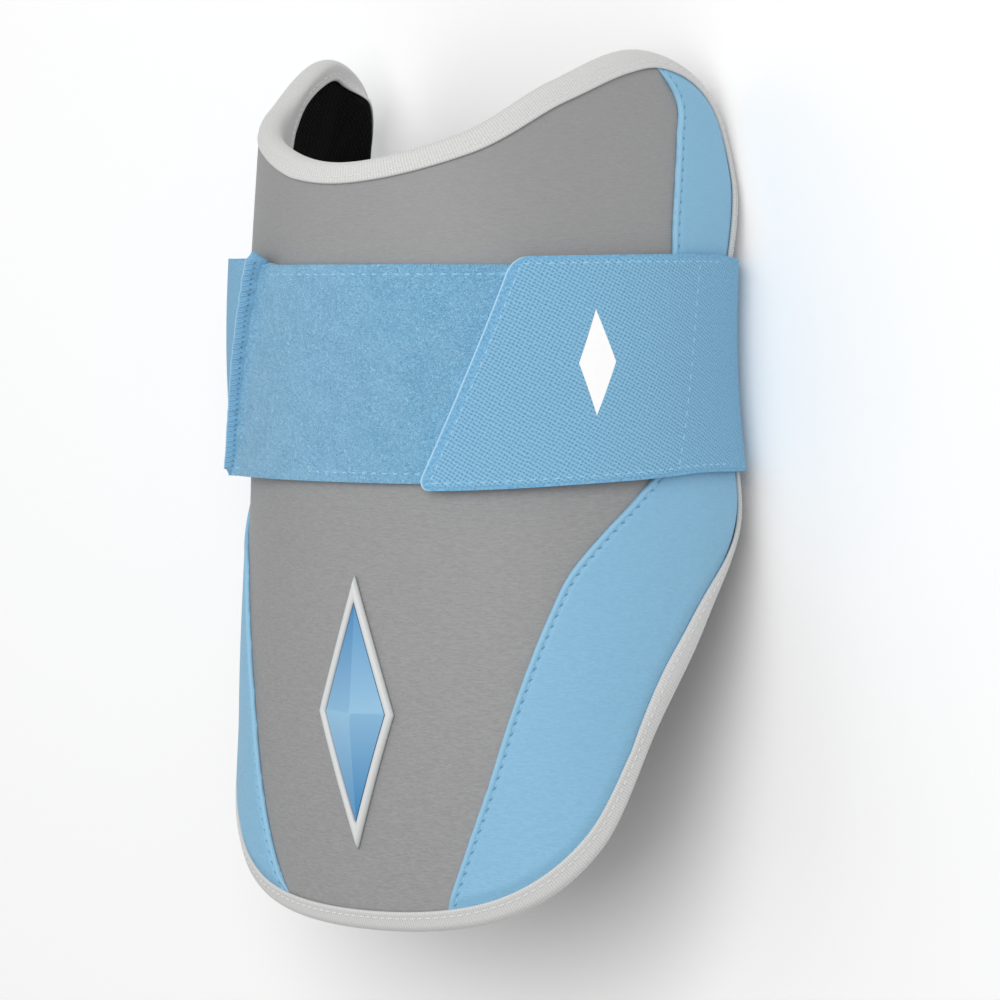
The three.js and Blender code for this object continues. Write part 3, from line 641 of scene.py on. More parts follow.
def panel_leather(pitch):
    """The blue leather, paler on the turned edge and with slanted dark dashes in the row of stitches, which
    are painted shade where each stitch sinks into the leather. The marks hold the length along the row and
    the distance from the turned edge."""
    material = leather("blue_polyurethane_leather", **BLUE_LEATHER)
    tree = material.node_tree
    shader = tree.nodes["Principled BSDF"]
    ground = shader.inputs["Base Color"].links[0].from_socket
    marks = node(tree, "Attribute", attribute_name="marks")["Vector"]
    run, away, _ = node(tree, "SeparateXYZ", {0: marks})
    along = node(tree, "Math", {0: run, 1: pitch / 2, 2: -pitch / 2}, operation="WRAP")[0]
    off_row = node(tree, "Math", {0: away, 1: PANEL["sewn_at"]}, operation="SUBTRACT")[0]
    leaning = {0: along, 1: PANEL_STITCH_SHADE["slant"], 2: off_row}
    slanted = node(tree, "Math", leaning, operation="MULTIPLY_ADD")[0]
    place = node(tree, "CombineXYZ", {0: along, 1: slanted, 2: 0.0})[0]
    stitch_shade_scale = (1 / PANEL_STITCH_SHADE["half_length"], 1 / PANEL_STITCH_SHADE["half_width"], 0)
    scaled = node(tree, "Mapping", {"Vector": place, "Scale": stitch_shade_scale})[0]
    far = node(tree, "VectorMath", {0: scaled}, operation="LENGTH")["Value"]
    # Painted shade: a dark slanted dash at each stitch of the row.
    stitch_shade = node(tree, "MapRange", {"Value": far, "From Min": 1.15, "From Max": 0.7})[0]
    on_lip = node(tree, "MapRange", {"Value": away, "From Min": 1.7, "From Max": 0.5, "To Max": 0.6})[0]
    pale = {0: on_lip, A: ground, B: linear(PANEL_COLOURS["lip"])}
    paler = node(tree, "Mix", pale, data_type="RGBA")[MIXED]
    dark = {0: stitch_shade, A: paler, B: linear(PANEL_COLOURS["stitch_shade"])}
    plug(shader, {"Base Color": node(tree, "Mix", dark, data_type="RGBA")[MIXED]})
    return material


def panel_top(away, inset, wider):
    """Top of the panel over the trough: a round lip at the turned edge, a groove where it is sewn, and a
    fall to the edge, where the tape goes over it, further in where the tape is wider."""
    lip = PANEL["lip"] * np.exp(-(((away - PANEL_LIP["at"]) / PANEL_LIP["reach"]) ** 2))
    groove = PANEL["groove"] * np.exp(-(((away - PANEL["sewn_at"]) / PANEL_LIP["groove_reach"]) ** 2))
    turned = 1 - np.clip(away / PANEL_LIP["turn"], 0, 1)
    full = (PANEL["top"] + lip - groove) * np.sqrt(np.clip(1 - turned**2, 0.0, 1))
    below = pad_outer(inset) + PANEL["over"]
    return np.maximum(lerp(below, full, smoothstep(inset - wider, *PANEL_FALL.values())), below)


dense_edge = np.linspace(0, EDGE_ROWS, LINE_POINTS["edge"])
edge_points = on_trough(*in_from_edge(dense_edge, 0.0), 0.0)
along_share = np.linspace(0, 1, PANEL_STEPS["along"] + 1)
blue_thread = thread("light_blue_polyester_thread", PANEL_COLOURS["thread"])
for side, sign in (("right", 1), ("left", -1)):
    right_rows = lerp(PANEL_EDGE_ROWS["from"], PANEL_EDGE_ROWS["to"], along_share)
    rim_rows = right_rows if sign > 0 else EDGE_ROWS - right_rows
    rim_inset = PAD["tape"] + np.minimum(tape_wider(rim_rows, "front"), 0) - PANEL["under_tape"]
    rim_angle, rim_y = in_from_edge(rim_rows, rim_inset)
    rim_ends = np.column_stack([rim_angle, rim_y])[[0, -1]]
    seam_rows = np.column_stack([sign * np.array(PANEL_SEAM[side]), PANEL_SEAM["y"]])
    seam_rows = np.concatenate([rim_ends[:1], seam_rows, rim_ends[1:]]) * [USUAL_DEGREE, 1]
    dense_seam = np.linspace(0, len(seam_rows) - 1, LINE_POINTS["panel_seam"])
    seam_dense, seam_way = smooth_curve(seam_rows, dense_seam)
    seam_length = row_distances(seam_dense)
    seam_angle = np.interp(along_share * seam_length[-1], seam_length, seam_dense[:, 0]) / USUAL_DEGREE
    seam_y = np.interp(along_share * seam_length[-1], seam_length, seam_dense[:, 1])
    line_angle = seam_dense[:, 0] / USUAL_DEGREE
    line_scale = degree_length(line_angle, seam_dense[:, 1])
    line_way = unit(seam_way * np.column_stack([line_scale / USUAL_DEGREE, np.ones_like(line_scale)]))
    sewn_angle = line_angle - sign * PANEL["sewn_at"] * line_way[:, 1] / line_scale
    sewn_y = seam_dense[:, 1] + sign * PANEL["sewn_at"] * line_way[:, 0]
    sewn_place = on_trough(sewn_angle, sewn_y, 0.0)
    sewn_inset, sewn_edge = nearest(sewn_place, edge_points)
    sewn_length = row_distances(sewn_place)
    pitch = sewn_length[-1] / int(sewn_length[-1] / PANEL_STITCH["pitch"])

    width = np.hypot((rim_angle - seam_angle) * degree_length(seam_angle, seam_y), rim_y - seam_y) + 1e-6
    near_limit = np.minimum(1, 0.5 * width / PANEL_NEAR[-1])[:, None]
    near_share = PANEL_NEAR[None, :] * near_limit / width[:, None]
    even_share = np.linspace(0, 1, PANEL_STEPS["across"] + 1)[None, 1:]
    far_share = 1 - (1 - even_share) ** PANEL_STEPS["closer"]
    across = np.concatenate([near_share, lerp(near_share[:, -1:], 1, far_share)], axis=1)
    panel_angle = lerp(seam_angle[:, None], rim_angle[:, None], across)
    panel_y = lerp(seam_y[:, None], rim_y[:, None], across)
    places = on_trough(panel_angle, panel_y, 0.0)
    away, number = nearest(places, on_trough(line_angle, seam_dense[:, 1], 0.0))
    inset, edge_number = nearest(places, edge_points)
    top = panel_top(away, inset, tape_wider(dense_edge[edge_number], "front"))
    bottom = pad_outer(inset) + PANEL["on"]
    bottom[[0, -1]] = top[[0, -1]]
    points = np.concatenate(
        [on_trough(panel_angle, panel_y, top), on_trough(panel_angle, panel_y, bottom)[:, ::-1]], axis=1
    )
    marks = xyz(sewn_length[number], away)
    marks = np.concatenate([marks, marks[:, ::-1]], axis=1)
    blue_leather = panel_leather(pitch)
    panel = grid_piece(f"side_panel_leather_{side}", points, blue_leather, "side_leather", marks=marks)
    sewn_top = panel_top(
        np.full(len(sewn_inset), PANEL["sewn_at"]), sewn_inset, tape_wider(dense_edge[sewn_edge], "front")
    )
    stitches = new_piece(
        f"panel_stitches_{side}",
        *stitch_run(sewn_angle, sewn_y, sewn_top, PANEL_STITCH),
        blue_thread,
        "side_leather",
    )
    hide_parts(f"side_panel_{side}")


# Loop panel: brushed nylon loop cloth across the front, which the strap's free end grips. It is sewn to
# the elastic at the left and lies flat on the leather.
LOOP = {"end_angle": 61, "low": 2.6, "rises": 2.2, "high": 60.8, "thickness": 2.0, "hem": 2.6}
LOOP_TURN = {"into_ridge": 0.9, "run": 3.4, "lift": 1.4}
LOOP_LIFT = {"angle": [-46, -12, 10, 61], "lift": [3.2, 0.5, 0.35, 0.35]}
LOOP_STEPS = {"along": 170, "across": 60}
LOOP_COLOURS = {"deep": "5e9dc6", "tip": "9bd1f0", "thread": "a0cee9"}
LOOP_RISE = {"from_angle": 15, "to_angle": 45}
LOOP_HEM = {"from_angle": -27, "before_end": 2, "low_turn": 8, "steps": 400}
PILE = {"tuft": 0.8, "cloud": 9, "cloud_share": 0.12}
STRAP_SEAM = {"low": -44.5, "high": -24}
RIDGE = {"foot": 3.6, "clear": 0.3, "crest": 1.6, "low": 2.2, "shoulder": 5.9, "high": 8.2, "crown": 0.2}
RIDGE_LINE = {"from": 2.6, "to": 62.8, "reach": 1.025}
HEM_STITCH = {"length": 1.6, "pitch": 3.2, "width": 0.45, "height": 0.36}

# Brushed loop pile: thousands of fine nylon loops, dull and soft, with pale tips over a deeper ground.
pile, tree, shader = new_material("blue_brushed_nylon_loop")
marks = node(tree, "Attribute", attribute_name="marks")["Vector"]
curls = {"Vector": marks, "Scale": 1 / PILE["tuft"], "Detail": 3, "Roughness": 0.65, "Distortion": 2.5}
tuft = node(tree, "TexNoise", curls)["Fac"]
cloud = node(tree, "TexNoise", {"Vector": marks, "Scale": 1 / PILE["cloud"], "Detail": 2})["Fac"]
clouded = {0: cloud, 1: PILE["cloud_share"], 2: tuft}
mixed = node(tree, "Math", clouded, operation="MULTIPLY_ADD")[0]
share = node(tree, "MapRange", {"Value": mixed, "From Min": 0.4, "From Max": 0.7})[0]
shades = {0: share, A: linear(LOOP_COLOURS["deep"]), B: linear(LOOP_COLOURS["tip"])}
colour = node(tree, "Mix", shades, data_type="RGBA")[MIXED]
bump = node(tree, "Bump", {"Height": tuft, "Strength": 1, "Distance": 0.5 * MM})[0]
plug(shader, {"Base Color": colour, "Normal": bump, "Roughness": 0.95, "Specular IOR Level": 0.15})
plug(shader, {"Sheen Weight": 0.25, "Sheen Roughness": 0.5})


def even_to_edges(count):
    """Shares from 0 to 1 that lie closer together towards both ends."""
    return (1 - np.cos(np.linspace(0, np.pi, count))) / 2


def thicken(piece, thickness, edge):
    """Gives a sheet the thickness of its cloth and soft edges."""
    cloth = piece.modifiers.new("cloth", "SOLIDIFY")
    cloth.thickness = thickness * MM
    cloth.offset = 1
    rounding = piece.modifiers.new("soft_edge", "BEVEL")
    rounding.width = edge * MM
    rounding.segments = 3
    rounding.limit_method = "ANGLE"


share = even_to_edges(LOOP_STEPS["across"] + 1)[None, :]
ridge_y = lerp(LOOP["low"], LOOP["high"], share)
ridge_angle = slanted(STRAP_SEAM, share)
ridge_half = (RIDGE["foot"] / 2 - LOOP_TURN["into_ridge"]) / degree_length(ridge_angle, ridge_y)
loop_share = even_to_edges(LOOP_STEPS["along"] + 1)[:, None]
loop_angle = lerp(ridge_angle + ridge_half, LOOP["end_angle"], loop_share)
loop_low = LOOP["low"] + LOOP["rises"] * smoothstep(loop_angle, *LOOP_RISE.values())
loop_y = lerp(loop_low, LOOP["high"], share)
from_ridge = (loop_angle - loop_angle[:1]) * degree_length(ridge_angle, ridge_y)
turned_up = LOOP_TURN["lift"] * (1 - smoothstep(from_ridge, 0, LOOP_TURN["run"]))
loop_lift = column(LOOP_LIFT, "angle", "lift", loop_angle) + turned_up
loop_points = on_trough(loop_angle, loop_y, loop_lift + LOOP["thickness"])
loop_run = loop_angle * degree_length(0.5 * loop_angle, loop_y)
loop_marks = xyz(loop_run, loop_y)
open_sheet = {"round_columns": False, "closed": False}
loop_panel = grid_piece(
    "brushed_loop_panel", loop_points, pile, "loop_fabric", marks=loop_marks, **open_sheet
)
thicken(loop_panel, LOOP["thickness"], edge=0.5)
strap_thread = thread("pale_blue_polyester_thread", LOOP_COLOURS["thread"])
hem_steps = LOOP_HEM["steps"]
hem_angle = np.linspace(LOOP_HEM["from_angle"], LOOP["end_angle"] - LOOP_HEM["before_end"], hem_steps)
hem_lift = column(LOOP_LIFT, "angle", "lift", hem_angle) + LOOP["thickness"]
hem_top = np.full(hem_steps, LOOP["high"] - LOOP["hem"])
hem_low = np.full(hem_steps, LOOP["low"] + LOOP["hem"])
hem_runs = [
    stitch_run(hem_angle, hem_top, hem_lift, HEM_STITCH, sink=0.05),
    stitch_run(hem_angle - LOOP_HEM["low_turn"], hem_low, hem_lift, HEM_STITCH, sink=0.05),
]
loop_stitches = new_piece("loop_panel_stitches", *joined(hem_runs), strap_thread, "loop_fabric")
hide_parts("loop_panel")


# Strap: one woven elastic band from the slanted free end on the front, round the right flank, flat across
# the back and up the left flank to the seam. The free end is faced with a heavier twill.
STRAP = {"thickness": 1.6, "hem": 2.0, "end_hem": 2.9, "corner": 4.0, "middle": 30.0, "sewn_to": 92}
STRAP_PATH = {
    "angle": [-100, -65, -30, 15, 62, 85, 94, 100],
    "lift": [2.4, 4.6, 4.8, 2.7, 2.65, 2.1, 2.15, 2.2],
    "low": [2, 3.4, 3.4, 0.8, 3.6, 5.2, 5.0, 4.6],
    "high": [61.6, 62.9, 62.6, 62.4, 63.4, 63.7, 63.4, 61.4],
}
STRAP_END = {"low": 16.5, "high": 39.9}
STRAP_BACK = {"leaves_at": 95, "half_run": 56, "level": 0.0}
STRAP_STEPS = {"end": 110, "closer": 1.25, "corner": 16, "back": 24, "flank": 60, "across": 56, "run": 25}
STRAP_CUT = {"width": 0.060, "length": 0.405}
STRAP_WIDTH = STRAP_CUT["width"] * 1000
SELVEDGE = {"plain": 0.5, "woven": 1.2}
FREE_EDGE = {"cut": 0.1, "edge_highlight_ends": 0.6, "plain": 2.0, "woven": 3.0}
# The palest colour is a painted highlight: a thin lit line along the slanted free end.
STRAP_COLOURS = {"gap": "629abe", "yarn": "90c3e2", "felt": "5f9bc3", "selvedge": "88bee0", "cut": "b9dcf0"}
TWILL = {"rib": 0.94, "cell": 1.05, "slant": 29, "drift": 2.5, "fuzz": 0.7}
TWILL_SHARE = {"rib": 0.22, "drift": 0.8, "fuzz": 1.3, "least_relief": 0.15}
FACING_SEAM = {"low": 74, "high": 85, "blend": 1, "flatter": 0.15}
PRINT = {"angle": 55, "share": 0.53, "half_width": 5.2, "half_height": 14, "colour": "ffffff"}


def band_place(angle, share):
    """Station y and offset of the band's outer face at an angle and a share of its width."""
    low = column(STRAP_PATH, "angle", "low", angle)
    high = column(STRAP_PATH, "angle", "high", angle)
    return lerp(low, high, share), column(STRAP_PATH, "angle", "lift", angle) + STRAP["thickness"]


def on_band(angle, share):
    """Point of the band's outer face at an angle and a share of its width."""
    return on_trough(angle, *band_place(angle, share))


def back_corner(share, sign):
    """Bend from the flank to the straight run across the back: a quadratic curve whose middle point lies
    where the flank's direction meets the height of the run."""
    leaves = sign * STRAP_BACK["leaves_at"]
    start = on_band(leaves, share)
    before = on_band(leaves - sign, share)
    level = STRAP_BACK["level"]
    slope = (start[..., 0] - before[..., 0]) / (start[..., 2] - before[..., 2])
    back_y = on_band(sign * 180, share)[..., 1]
    bend = xyz(start[..., 0] + slope * (level - start[..., 2]), back_y, level)
    end = xyz(sign * STRAP_BACK["half_run"], back_y, level)
    t = np.linspace(0, 1, STRAP_STEPS["corner"] + 1)[:, None, None]
    return (1 - t) ** 2 * start + 2 * t * (1 - t) * bend + t**2 * end


def strap_face(share):
    """Grid of the band's outer face, from the free end to the seam, with rounded corners at the free end."""
    from_side = np.minimum(share, 1 - share) * STRAP_WIDTH
    radius = STRAP["corner"]
    pull = radius - np.sqrt(np.maximum(0, radius**2 - (radius - np.minimum(from_side, radius)) ** 2))
    first = slanted(STRAP_END, share)
    first = first + pull / degree_length(first, STRAP["middle"])
    along = np.linspace(0, 1, STRAP_STEPS["end"], endpoint=False)[:, None] ** STRAP_STEPS["closer"]
    end = on_band(lerp(first, STRAP_BACK["leaves_at"], along), share)
    right = back_corner(share, 1)
    left = back_corner(share, -1)[::-1]
    across = np.linspace(0, 1, STRAP_STEPS["back"] + 1)[1:-1, None, None]
    back = lerp(right[-1], left[0], across)
    ridge = slanted(STRAP_SEAM, share)
    ridge_y = lerp(RIDGE_LINE["from"], RIDGE_LINE["to"], share)
    last = ridge - (RIDGE["foot"] / 2 + RIDGE["clear"]) / degree_length(ridge, ridge_y)
    up = np.linspace(0, 1, STRAP_STEPS["flank"] + 1)[1:, None]
    flank = on_band(lerp(-STRAP_BACK["leaves_at"], last, up), share)
    return np.concatenate([end, right, back, left, flank])


def band_run(angle, share):
    """Length along the band from an angle to where it leaves the right flank."""
    way = np.linspace(0, 1, STRAP_STEPS["run"])[:, None]
    angle = np.atleast_1d(angle)[None, :]
    share = np.atleast_1d(share)[None, :]
    line = on_band(lerp(angle, STRAP_BACK["leaves_at"], way), share)
    return row_distances(line)[-1]


# Woven polyester: the facing is a coarse slanted twill of fat yarns, the elastic behind it is finer and
# smoother, and the selvedge along every edge is plain. Dull, with dark points between the yarns. A plain
# white lozenge is printed on the facing. The marks hold the length along the band, the distance across
# it and how strongly the twill shows, which is below zero along the slanted free end: there a pale painted
# highlight is mixed in, a thin lit line along that edge.
webbing, tree, shader = new_material("blue_woven_polyester_elastic")
marks = node(tree, "Attribute", attribute_name="marks")["Vector"]
run, across, twill_and_edge_highlight = node(tree, "SeparateXYZ", {0: marks})
flat = node(tree, "CombineXYZ", {0: run, 1: across, 2: 0.0})[0]
drift = node(tree, "TexNoise", {"Vector": flat, "Scale": 1 / TWILL["drift"], "Detail": 1})["Color"]
moved = {0: drift, 1: (TWILL_SHARE["drift"], TWILL_SHARE["drift"], 0), 2: flat}
uneven = node(tree, "VectorMath", moved, operation="MULTIPLY_ADD")[0]
slant = (0, 0, np.radians(TWILL["slant"]))
turned = node(tree, "Mapping", {"Vector": uneven, "Rotation": slant})[0]
twill_scale = (2 * np.pi / TWILL["cell"], 2 * np.pi / TWILL["rib"], 0)
phase = node(tree, "Mapping", {"Vector": turned, "Scale": twill_scale})[0]
waves = node(tree, "VectorMath", {0: phase}, operation="SINE")[0]
cells, ribs, _ = node(tree, "SeparateXYZ", {0: waves})
wave_sum = node(tree, "Math", {0: cells, 1: ribs}, operation="ADD")[0]
yarns = node(tree, "MapRange", {"Value": wave_sum, "From Min": -2, "From Max": -0.1})[0]
ribbing = {0: ribs, 1: TWILL_SHARE["rib"], 2: yarns}
ribbed = node(tree, "Math", ribbing, operation="MULTIPLY_ADD")[0]
fuzz = node(tree, "TexNoise", {"Vector": flat, "Scale": 1 / TWILL["fuzz"], "Detail": 2})["Fac"]
fuzzed = {0: fuzz, 1: TWILL_SHARE["fuzz"], 2: ribbed}
rough = node(tree, "Math", fuzzed, operation="MULTIPLY_ADD")[0]
yarn_share = node(tree, "MapRange", {"Value": rough, "From Min": 0.5, "From Max": 2.1})[0]
yarn_shades = {0: yarn_share, A: linear(STRAP_COLOURS["gap"]), B: linear(STRAP_COLOURS["yarn"])}
yarn = node(tree, "Mix", yarn_shades, data_type="RGBA")[MIXED]
felt = node(tree, "MapRange", {"Value": fuzz, "From Min": 0.3, "From Max": 0.7})[0]
plain_shades = {0: felt, A: linear(STRAP_COLOURS["felt"]), B: linear(STRAP_COLOURS["selvedge"])}
plain = node(tree, "Mix", plain_shades, data_type="RGBA")[MIXED]
woven = node(tree, "Mix", {0: twill_and_edge_highlight, A: plain, B: yarn}, data_type="RGBA")[MIXED]
# Painted highlight: where the twill share is below zero, at the free end, the colour turns pale.
cut = node(tree, "MapRange", {"Value": twill_and_edge_highlight, "From Min": 0, "From Max": -1})[0]
ground = node(tree, "Mix", {0: cut, A: woven, B: linear(STRAP_COLOURS["cut"])}, data_type="RGBA")[MIXED]
print_run = -float(band_run(PRINT["angle"], PRINT["share"])[0])
print_middle = (print_run, PRINT["share"] * STRAP_WIDTH, 0)
from_print = node(tree, "VectorMath", {0: flat, 1: print_middle}, operation="SUBTRACT")[0]
ways = node(tree, "VectorMath", {0: from_print}, operation="ABSOLUTE")[0]
print_size = (1 / PRINT["half_width"], 1 / PRINT["half_height"], 0)
far = node(tree, "VectorMath", {0: ways, 1: print_size}, operation="DOT_PRODUCT")["Value"]
printed = node(tree, "MapRange", {"Value": far, "From Min": 1.01, "From Max": 0.99})[0]
colour = node(tree, "Mix", {0: printed, A: ground, B: linear(PRINT["colour"])}, data_type="RGBA")[MIXED]
raised = node(tree, "Math", {0: twill_and_edge_highlight, 1: printed}, operation="SUBTRACT")[0]
shown = node(tree, "Math", {0: raised, 1: TWILL_SHARE["least_relief"]}, operation="MAXIMUM")[0]
relief = node(tree, "Math", {0: rough, 1: shown}, operation="MULTIPLY")[0]
bump = node(tree, "Bump", {"Height": relief, "Strength": 0.6, "Distance": 0.25 * MM})[0]
plug(shader, {"Base Color": colour, "Normal": bump})
plug(shader, {"Roughness": 0.85, "Specular IOR Level": 0.2, "Sheen Weight": 0.05})

strap_share = even_to_edges(STRAP_STEPS["across"] + 1)
strap_points = strap_face(strap_share)
end_away = row_distances(strap_points)
strap_run = end_away - end_away[STRAP_STEPS["end"]]
strap_across = np.broadcast_to(strap_share * STRAP_WIDTH, end_away.shape)
strap_away = np.minimum(strap_across, STRAP_WIDTH - strap_across)
border = smoothstep(strap_away, SELVEDGE["plain"], SELVEDGE["woven"])
border = border * smoothstep(end_away, FREE_EDGE["plain"], FREE_EDGE["woven"])
facing_at = -band_run(slanted(FACING_SEAM, strap_share), strap_share)
behind = smoothstep(strap_run - facing_at, -FACING_SEAM["blend"], FACING_SEAM["blend"])
# Painted highlight along the slanted free end: full at the very edge, gone 0.6 mm in.
cut_edge = 1 - smoothstep(end_away, FREE_EDGE["cut"], FREE_EDGE["edge_highlight_ends"])
twill_and_edge_highlight_shares = border * (1 - FACING_SEAM["flatter"] * behind) - cut_edge
strap_marks = xyz(strap_run, strap_across, twill_and_edge_highlight_shares)
elastic_strap = grid_piece(
    "woven_elastic_strap", strap_points, webbing, "elastic", marks=strap_marks, **open_sheet
)
thicken(elastic_strap, STRAP["thickness"], edge=0.4)


def band_stitches(angle, share, sink=0.05):
    """Beads along a line of the band, given by its angles and shares of the width."""
    return stitch_run(angle, *band_place(angle, share), HEM_STITCH, sink)


hem_share = STRAP["hem"] / STRAP_WIDTH
hem_shares = np.linspace(hem_share, 1 - hem_share, LINE_POINTS["strap_end"])
slant_angle = slanted(STRAP_END, hem_shares)
slant_angle = slant_angle + STRAP["end_hem"] / degree_length(slant_angle, STRAP["middle"])
high_angle = np.linspace(slant_angle[-1], STRAP["sewn_to"], LINE_POINTS["strap_hem"])
low_angle = np.linspace(slant_angle[0], STRAP["sewn_to"], LINE_POINTS["strap_hem"])
strap_runs = [
    band_stitches(slant_angle, hem_shares),
    band_stitches(high_angle, 1 - hem_share, sink=0.08),
    band_stitches(low_angle, hem_share),
    band_stitches(slanted(FACING_SEAM, hem_shares), hem_shares),
]
strap_stitches = new_piece("strap_stitches", *joined(strap_runs), strap_thread, "elastic")
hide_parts("elastic_strap")


# Strap seam: the ends of elastic and loop cloth stand up together at the left and are bound by an
# overlock stitch, whose threads go over the crest and down the side.
RIDGE_STEPS = 220
YARN_END = 0.7
RIDGE_END = {"taper": 0.75, "starts": 0.455, "drop": 1.6}
WOBBLE = {"size": 0.18, "waves": 61, "sway": 2, "sways": 23}
OVERLOCK = {"pitch": 1.5, "radius": 0.17, "turn_steps": 12, "sides": 5, "from": 0.035, "to": 0.965}
OVERLOCK_TURN = {"wider": 1.06, "over": 0.08, "ends_above": 1.4, "starts": 0.4, "run": 1.5}
TUBE_SIDE = np.array([0.31, 0.95, 0.05])
# The crest thread's pale colour is a painted highlight along the seam's crest.
CREST = {"radius": 0.28, "from": 0.03, "to": 0.968, "colour": "a3cce4"}
RIDGE_COLOURS = {"dark": "629bc1", "light": "8fc0dd", "thread": "88badb"}

# Bound cloth edges: the same elastic, pressed hard and rough with cut yarn ends.
bound, tree, shader = new_material("blue_overlocked_edge")
place = node(tree, "TexCoord")["Object"]
yarn_ends = node(tree, "TexNoise", {"Vector": place, "Scale": 1 / (YARN_END * MM), "Detail": 3})["Fac"]
bump = node(tree, "Bump", {"Height": yarn_ends, "Strength": 0.8, "Distance": 0.3 * MM})[0]
shades = {0: yarn_ends, A: linear(RIDGE_COLOURS["dark"]), B: linear(RIDGE_COLOURS["light"])}
colour = node(tree, "Mix", shades, data_type="RGBA")[MIXED]
plug(shader, {"Base Color": colour, "Normal": bump, "Roughness": 0.9, "Specular IOR Level": 0.15})


def on_ridge(share, across, offset):
    """Point beside the slanted seam: a share of its length, a distance across its wavering line and one
    out of the trough."""
    sway = WOBBLE["sway"] * np.sin(share * WOBBLE["sways"])
    across = across + WOBBLE["size"] * np.sin(share * WOBBLE["waves"] + sway)
    share = share * RIDGE_LINE["reach"]
    angle = slanted(STRAP_SEAM, share)
    y = lerp(RIDGE_LINE["from"], RIDGE_LINE["to"], share)
    return on_trough(angle + across / degree_length(angle, y), y, offset)


ridge_side = np.array(
    [
        [RIDGE["foot"] / 2, RIDGE["low"]],
        [RIDGE["foot"] / 2, RIDGE["shoulder"]],
        [RIDGE["crest"] / 2, RIDGE["high"] - RIDGE["crown"]],
    ]
)
ridge_corners = np.concatenate([ridge_side * [-1, 1], [[0, RIDGE["high"]]], ridge_side[::-1]])
ridge_profile, _ = smooth_curve(ridge_corners, np.arange(len(ridge_corners) * 4) / 4, closed=True)
ridge_share = np.linspace(0, 1, RIDGE_STEPS + 1)[:, None]
taper = 1 - RIDGE_END["taper"] * smoothstep(np.abs(ridge_share - 0.5), RIDGE_END["starts"], 0.5)
ridge_middle = np.array([0, RIDGE["high"] - RIDGE_END["drop"]])
ridge_shape = ridge_middle + (ridge_profile[None, :, :] - ridge_middle) * taper[:, :, None]
ridge_points = on_ridge(ridge_share, ridge_shape[..., 0], ridge_shape[..., 1])
ridge_ends = ridge_points[[0, -1]].mean(1, keepdims=True) + 0 * ridge_points[[0, -1]]
ridge_points = np.concatenate([ridge_ends[:1], ridge_points, ridge_ends[1:]])
strap_seam = grid_piece("overlocked_strap_seam", ridge_points, bound, "seam_thread")
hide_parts("strap_seam")


def tube(points, radius):
    """Points and faces of a round thread along a chain of points, closed at both ends."""
    along = unit(np.gradient(points, axis=0))
    side = unit(np.cross(along, TUBE_SIDE))
    up = np.cross(side, along)
    sides = OVERLOCK["sides"]
    t = np.linspace(0, 2 * np.pi, sides, endpoint=False)[None, :, None]
    ring = points[:, None, :] + radius * (np.cos(t) * side[:, None, :] + np.sin(t) * up[:, None, :])
    ring = np.concatenate([0 * ring[:1] + points[:1, None], ring, 0 * ring[-1:] + points[-1:, None]])
    return ring.reshape(-1, 3), grid_faces(len(points) + 2, sides, round_columns=True)


wraps = int((RIDGE_LINE["to"] - RIDGE_LINE["from"]) / OVERLOCK["pitch"])
wrap_at = np.linspace(0, 1, wraps * OVERLOCK["turn_steps"] + 1)
swing = np.mod(wrap_at * wraps, 1)
back_and_forth = 1 - np.abs(2 * swing - 1)
over_crest = ridge_corners[3:] * [OVERLOCK_TURN["wider"], 1]
over_crest[-1, 1] = RIDGE["low"] + OVERLOCK_TURN["ends_above"]
over_crest[:, 1] = over_crest[:, 1] + OVERLOCK_TURN["over"]
wrap_place, _ = smooth_curve(over_crest, OVERLOCK_TURN["starts"] + back_and_forth * OVERLOCK_TURN["run"])
wrap_share = lerp(OVERLOCK["from"], OVERLOCK["to"], wrap_at)
wrap_points = on_ridge(wrap_share, wrap_place[:, 0], wrap_place[:, 1])
overlock_thread = thread("blue_overlock_thread", RIDGE_COLOURS["thread"])
new_piece(
    "overlock_threads",
    *tube(wrap_points, OVERLOCK["radius"]),
    overlock_thread,
    "seam_thread",
)
# A thread along the crest, paler than the overlock threads: the paleness is a painted highlight on the
# crest.
crest_points = on_ridge(np.linspace(CREST["from"], CREST["to"], RIDGE_STEPS), 0.0, RIDGE["high"])
new_piece(
    "crest_thread",
    *tube(crest_points, CREST["radius"]),
    thread("crest_thread_painted_highlight", CREST["colour"]),
    "seam_thread",
)


# Emblem: a moulded plastic lozenge fixed on the tongue, with a pale rim round a faceted blue face. It is
# made in two colours and bent to the leather.
EMBLEM = {"y": -59.5, "half_height": 37, "half_width": 12.5}
EMBLEM_RIM = {"width": 2.2, "gap": 0.3}
RIM_GRAIN = 0.5
RIM_INSETS = np.array([0, 0.05, 0.45, 1.1, 1.8, 2.15, 2.2])[:, None]
RIM_HEIGHTS = np.array([0.3, 0.9, 1.7, 1.9, 1.8, 1.4, 0.3])[:, None]
EMBLEM_FACE = {"side": 0.96, "middle": 3.0, "crease": 4}
EMBLEM_TINT = {"lit_facet": 0.15, "pale_middle": 0.55, "pale_reach": 30}
EMBLEM_STEPS = {"side": 30, "across": 14}
EMBLEM_COLOURS = {"rim": "d6d8d8", "tip": "2f7fb6", "middle": "a9d3ea"}


def lozenge(inset):
    """Angle and y round a lozenge drawn in by inset, from its top corner round by the right."""
    slant = np.hypot(EMBLEM["half_height"], EMBLEM["half_width"])
    shrink = 1 - np.asarray(inset) * slant / (EMBLEM["half_height"] * EMBLEM["half_width"])
    t = np.arange(4 * EMBLEM_STEPS["side"]) / EMBLEM_STEPS["side"]
    x = EMBLEM["half_width"] * (1 - np.abs(np.mod(t + 1, 4) - 2)) * -1
    up = EMBLEM["half_height"] * (1 - np.abs(np.mod(t + 2, 4) - 2)) * -1
    station = EMBLEM["y"] + shrink * up
    return shrink * x / degree_length(0.0, station), station


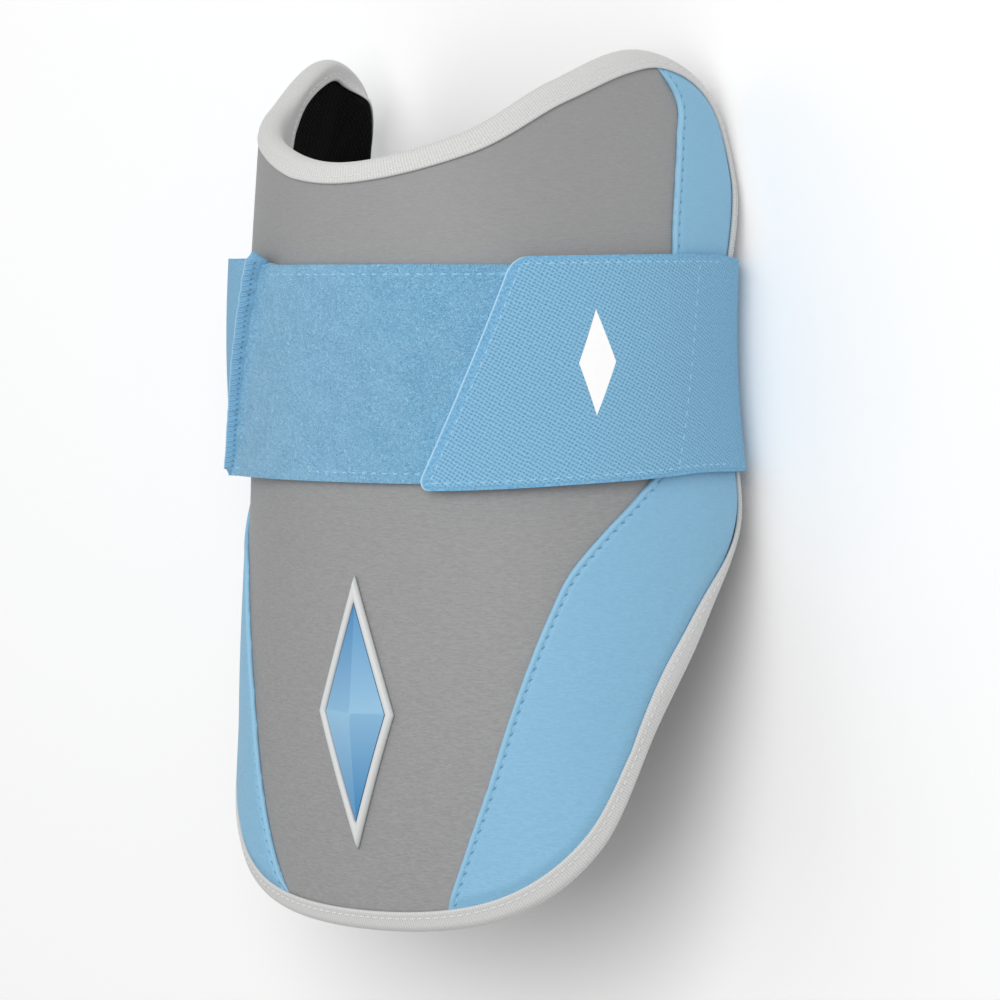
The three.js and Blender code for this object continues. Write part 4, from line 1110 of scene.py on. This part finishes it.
# Moulded soft polyvinyl: the rim is matt and pale.
rim_plastic, tree, shader = new_material("pale_grey_moulded_vinyl")
place = node(tree, "TexCoord")["Object"]
grain = node(tree, "TexNoise", {"Vector": place, "Scale": 1 / (RIM_GRAIN * MM), "Detail": 1})["Fac"]
bump = node(tree, "Bump", {"Height": grain, "Strength": 0.15, "Distance": 0.05 * MM})[0]
plug(shader, {"Base Color": linear(EMBLEM_COLOURS["rim"]), "Normal": bump, "Roughness": 0.5})
rim_angle, rim_y = lozenge(RIM_INSETS)
rim_points = on_trough(rim_angle, rim_y, RIM_HEIGHTS)
emblem_rim = grid_piece("emblem_rim_vinyl", rim_points, rim_plastic, "emblem_rim", round_rows=True)
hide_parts("emblem_rim")

# The face is glossier, deep blue at the tips and pale towards the middle.
face_plastic, tree, shader = new_material("blue_moulded_vinyl")
marks = node(tree, "Attribute", attribute_name="marks")["Vector"]
share = node(tree, "SeparateXYZ", {0: marks})[0]
shades = {0: share, A: linear(EMBLEM_COLOURS["tip"]), B: linear(EMBLEM_COLOURS["middle"])}
colour = node(tree, "Mix", shades, data_type="RGBA")[MIXED]
plug(shader, {"Base Color": colour, "Roughness": 0.32})
outline_angle, outline_y = lozenge(EMBLEM_RIM["width"] + EMBLEM_RIM["gap"])
inward = np.linspace(0, 1, EMBLEM_STEPS["across"] + 1)[:, None]
face_angle = outline_angle[None, :] * (1 - inward)
face_y = lerp(outline_y[None, :], EMBLEM["y"], inward)
face_lift = EMBLEM_RIM["gap"] + lerp(EMBLEM_FACE["side"], EMBLEM_FACE["middle"], inward)
face_points = two_faces(face_angle, face_y, face_lift, EMBLEM_RIM["gap"])
# Painted light: the two facets on one diagonal are tinted paler, as if lit.
lit = (face_y > EMBLEM["y"]) == (face_angle > 0)
pale = 1 - np.abs(face_y - EMBLEM["y"]) / EMBLEM_TINT["pale_reach"]
facet_tint = np.where(lit, EMBLEM_TINT["lit_facet"], 0.0) + EMBLEM_TINT["pale_middle"] * pale
face_marks = xyz(np.clip(facet_tint, 0, 1))
face_marks = np.concatenate([face_marks[::-1], face_marks])
emblem_face = grid_piece("emblem_face_vinyl", face_points, face_plastic, "emblem_face", marks=face_marks)
emblem_face.data.set_sharp_from_angle(angle=np.radians(EMBLEM_FACE["crease"]))
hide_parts("emblem_face")
